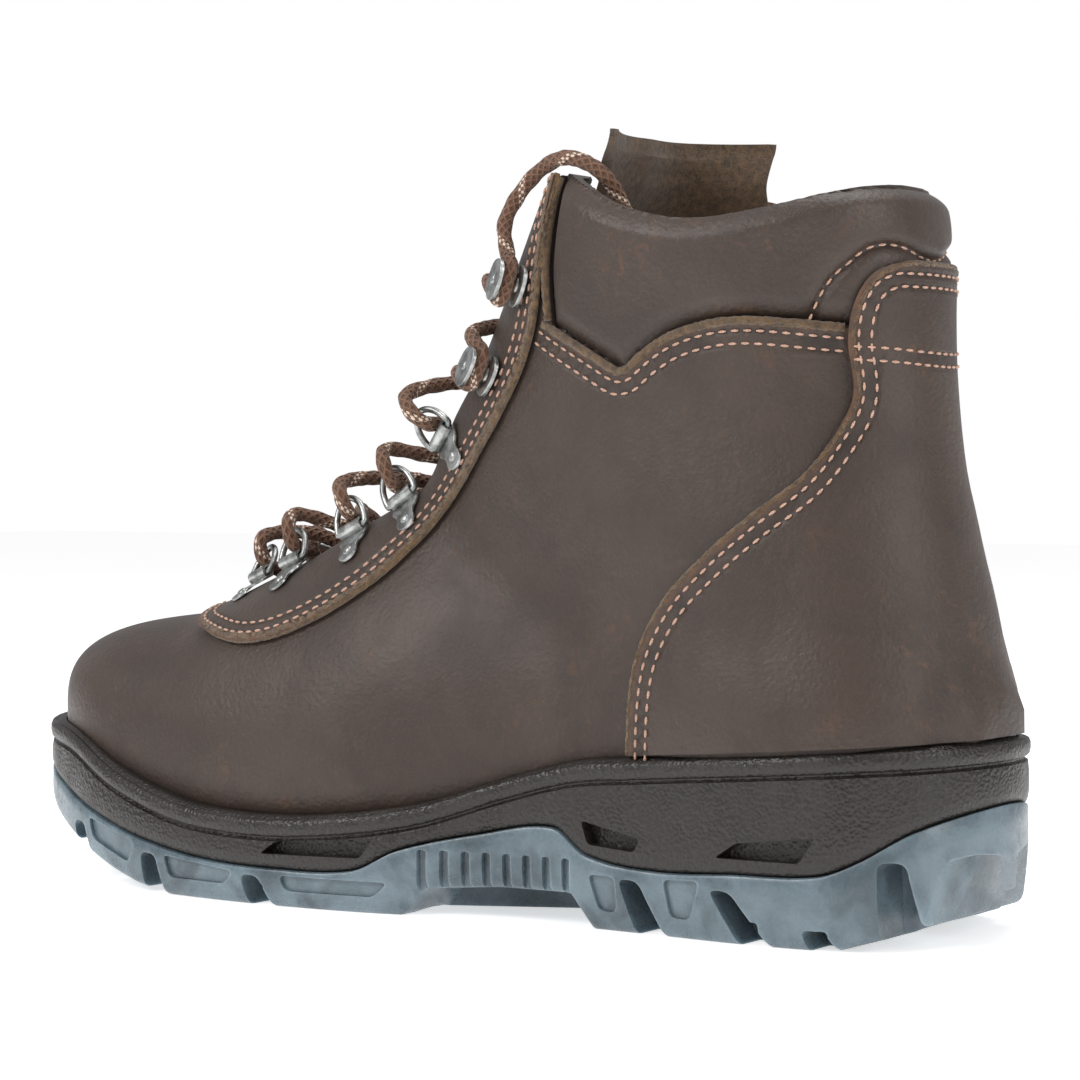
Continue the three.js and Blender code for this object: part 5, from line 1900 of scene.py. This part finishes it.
# ---------------------------------------------------------------- lace
LACE_HALF = [
    (0, -67, 87.5), (7.5, -69, 87.5), (13.5, -71.5, 91), (14.5, -72, 96.5), (9, -71.5, 98.5),
             (0, -65.5, 98.5),
    (-12, -55.5, 93.5), (-19, -56.5, 96), (-20.5, -57, 101), (-16, -58, 104), (0, -47, 105),
    (14.5, -36, 102.5), (21.5, -35, 105), (24, -35.5, 109.5), (20, -38, 113), (0, -29, 114),
    (-12.5, -22, 111), (-19.5, -21, 113), (-22.5, -21.5, 117.5), (-18, -24.5, 122), (0, -17.5, 124),
    (16, -7, 129), (23.5, -6.5, 129), (27, -8.5, 131.5), (24.5, -12.5, 136.5), (0, -3.5, 141.5),
    (-24, 4.5, 142.5), (-28.5, 11.5, 139), (-29, 16, 146.5), (-24.5, 9.5, 152.5), (0, 9, 159),
    (24.5, 15, 166.5), (30.5, 23, 161), (31, 26.5, 169), (28.5, 24, 172), (26.5, 21.5, 181),
    (24, 25, 189.5),
]
LACE_OUTER_END = [(22.5, 31, 195.5), (24, 40, 197.5), (22.5, 49.5, 193), (18, 54, 182.5), (19.5, 66, 150),
                  (20, 77, 68), (20, 67, 53), (20, 52, 50.5)]
LACE_INNER_END = [(-25, 31, 196), (-28.5, 40, 197), (-31.5, 50, 193), (-32, 63, 188), (-31, 76, 184.5),
                  (-26, 85, 180.5), (-23, 88, 168), (-21, 89, 120), (-21, 88, 68), (-20.5, 76, 54),
                  (-20, 60, 50.5)]
LACE_UNDER = [(0, -65, 92.5), (0, -46, 99.5), (0, -27.5, 108.5), (0, -13.5, 120), (0, -0.5, 137),
              (0, 13.5, 157.5)]


@dataclass
class Lace:
    """The braided lace and its two tips."""

    diameter: float = 4.2
    sides: int = 20
    strands: int = 8
    pitch: float = 7.0
    relief: float = 0.22
    tip_length: float = 22.0
    tip_diameter: float = 3.6

    def route(self) -> list[tuple[float, float, float]]:
        """Its points from the outer end to the inner end."""
        under = iter(LACE_UNDER)
        other = [next(under) if x == 0 else (-x, y, z) for x, y, z in LACE_HALF[1:]]
        return [*LACE_OUTER_END[::-1], *LACE_HALF[::-1], *other, *LACE_INNER_END]

    @staticmethod
    def carried(path: np.ndarray) -> tuple[np.ndarray, np.ndarray, np.ndarray]:
        """Directions along a path and two across it that don't twist.

        Args:
            path: points in order.

        Returns:
            Unit directions along, and two across.
        """
        along = np.gradient(path, axis=0)
        along /= np.linalg.norm(along, axis=1, keepdims=True)
        side = np.empty_like(along)
        side[0] = np.cross(along[0], (0.3, 0.2, 0.9))
        for i in range(1, len(path)):
            side[i] = side[i - 1]
            side[i] -= along[i] * (side[i] @ along[i])
            side[i] /= np.linalg.norm(side[i])
        side[0] = side[1]
        return along, side, np.cross(along, side)

    def tube(self, name: str, path: np.ndarray, diameter: float) -> bpy.types.Object:
        """A round cord with the strands' relief, drawn in at its ends.

        Args:
            name: the piece's name.
            path: its centre line.
            diameter: how thick it is.

        Returns:
            The cord.
        """
        along, side, other = self.carried(path)
        run = np.concatenate([[0], np.cumsum(np.linalg.norm(np.diff(path, axis=0), axis=1))])
        turn = np.linspace(0, 2 * math.pi, self.sides, endpoint=False)[None]
        twist = run[:, None] * 2 * math.pi / self.pitch
        waves = np.maximum(np.sin(turn * self.strands / 4 + twist), np.sin(turn * self.strands / 4 - twist))
        radius = diameter / 2 - self.relief * (1 - np.clip(waves, 0, 1))
        ends = np.minimum(run, run[-1] - run) / (diameter / 2)
        radius = radius * np.sqrt(1 - (1 - np.clip(ends, 0.12, 1)) ** 2)[:, None]
        ring = path[:, None] + radius[..., None] * (np.cos(turn)[..., None] * side[:, None]
                                                    + np.sin(turn)[..., None] * other[:, None])
        uv = np.stack(np.broadcast_arrays(turn / (2 * math.pi), run[:, None]), axis=-1)
        return surface(name, ring, around=True, capped=True, uv=uv)

    def build(self) -> None:
        """Lays the lace along its route and puts the tips on."""
        path = spline(self.route(), 0.62)
        lace = self.tube("braided_lace", path, self.diameter)
        dress(lace, LACE_BRAID, "boot", ["lace"])
        for name, end, before in (("aglet_outer", path[0], path[1]), ("aglet_inner", path[-1], path[-2])):
            way = (end - before) / np.linalg.norm(end - before)
            line = end + way * np.linspace(LAYER_GAP, LAYER_GAP + self.tip_length, 40)[:, None]
            tip = self.tube(name.replace("aglet", "lace_tip"), line, self.tip_diameter)
            dress(tip, TIP_FILM, "boot", [name])


# ---------------------------------------------------------------- inner parts and stage
def dress_hidden() -> None:
    """Gives the CAD pieces inside the boot their finishes."""
    finishes = {"shank": SHANK_STEEL, "insole_board": FIBRE_BOARD, "steel_toe_cap": TOE_STEEL,
                "heel_stiffener": FIBRE_BOARD, "quarter_padding": PAD_FOAM}
    for name, finish in finishes.items():
        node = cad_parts[name]
        node.data.materials.clear()
        node.data.materials.append(finish.material())
        log.info("%s: CAD piece, finish %s", name, finish.name)


@dataclass
class Studio:
    """Camera, lights and floor."""

    eye: tuple[float, float, float] = (0.6593, 0.4676, 0.1143)
    target: tuple[float, float, float] = (0.0, 0.0145, 0.0974)
    lens: float = 98.0
    sensor: float = 36.0
    floor_half: float = 4000.0
    floor_glow: float = 0.6
    sky: tuple[float, float, float, float] = (0.42, 0.42, 0.43, 1)

    def camera(self) -> None:
        """The viewing angle."""
        data = bpy.data.cameras.new("camera")
        data.lens = self.lens
        data.sensor_width = self.sensor
        camera = bpy.data.objects.new("camera", data)
        camera.location = self.eye
        camera.rotation_euler = (Vector(self.target) - Vector(self.eye)).to_track_quat("-Z", "Y").to_euler()
        bpy.context.scene.collection.objects.link(camera)
        bpy.context.scene.camera = camera

    def light(self, name: str, place: tuple[float, float, float], size: float, power: float) -> None:
        """One soft panel, aimed at the boot.

        Args:
            name: the light's name.
            place: where it is, in metres.
            size: its width.
            power: its strength in watts.
        """
        data = bpy.data.lights.new(name, "AREA")
        data.size = size
        data.energy = power
        lamp = bpy.data.objects.new(name, data)
        lamp.location = place
        lamp.rotation_euler = (Vector((0, 0, 0.08)) - Vector(place)).to_track_quat("-Z", "Y").to_euler()
        bpy.context.scene.collection.objects.link(lamp)

    def floor(self) -> None:
        """A wide pale floor that glows a little."""
        bm = bmesh.new()
        bmesh.ops.create_grid(bm, x_segments=2, y_segments=2, size=self.floor_half)
        floor = from_bmesh("floor", bm)
        paint = bpy.data.materials.new("pale floor")
        paint.use_nodes = True
        net = Net(paint.node_tree)
        cloud = net.noise(net.place(), 0.004, 2.0)
        tone = net.blend(cloud, (0.93, 0.93, 0.93, 1), (0.96, 0.96, 0.96, 1))
        Finish.feed(net, paint.node_tree.nodes["Principled BSDF"], Base_Color=tone, Roughness=0.9,
                    Emission_Color=tone, Emission_Strength=self.floor_glow)
        floor.data.materials.append(paint)

    def surroundings(self) -> None:
        """A world that lights softly and looks white to the camera."""
        world = bpy.data.worlds.new("studio")
        world.use_nodes = True
        net = Net(world.node_tree)
        seen = net.add("ShaderNodeLightPath").outputs["Is Camera Ray"]
        glow = net.blend(seen, self.sky, (1, 1, 1, 1))
        net.tree.links.new(glow, world.node_tree.nodes["Background"].inputs[0])
        bpy.context.scene.world = world
        bpy.context.scene.view_settings.view_transform = "Standard"

    def build(self) -> None:
        """Sets the lights, the floor and the world up."""
        self.light("key", (1.0, -0.5, 0.9), 0.6, 9)
        self.light("rim", (0.3, 1.3, 0.7), 0.7, 6)
        self.light("top", (-0.2, 0.1, 1.3), 0.8, 7)
        self.floor()
        self.surroundings()


def main() -> None:
    """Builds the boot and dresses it."""
    logging.basicConfig(level=logging.INFO, format="%(message)s")
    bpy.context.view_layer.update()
    studio = Studio()
    studio.camera()
    Lace().build()
    trims = Trims()
    Upper(trims.plan()).build()
    Collar().build()
    Tongue().build()
    Sole().build()
    Hardware().build()
    trims.build()
    dress_hidden()
    studio.build()


if __name__ == "__main__":
    main()
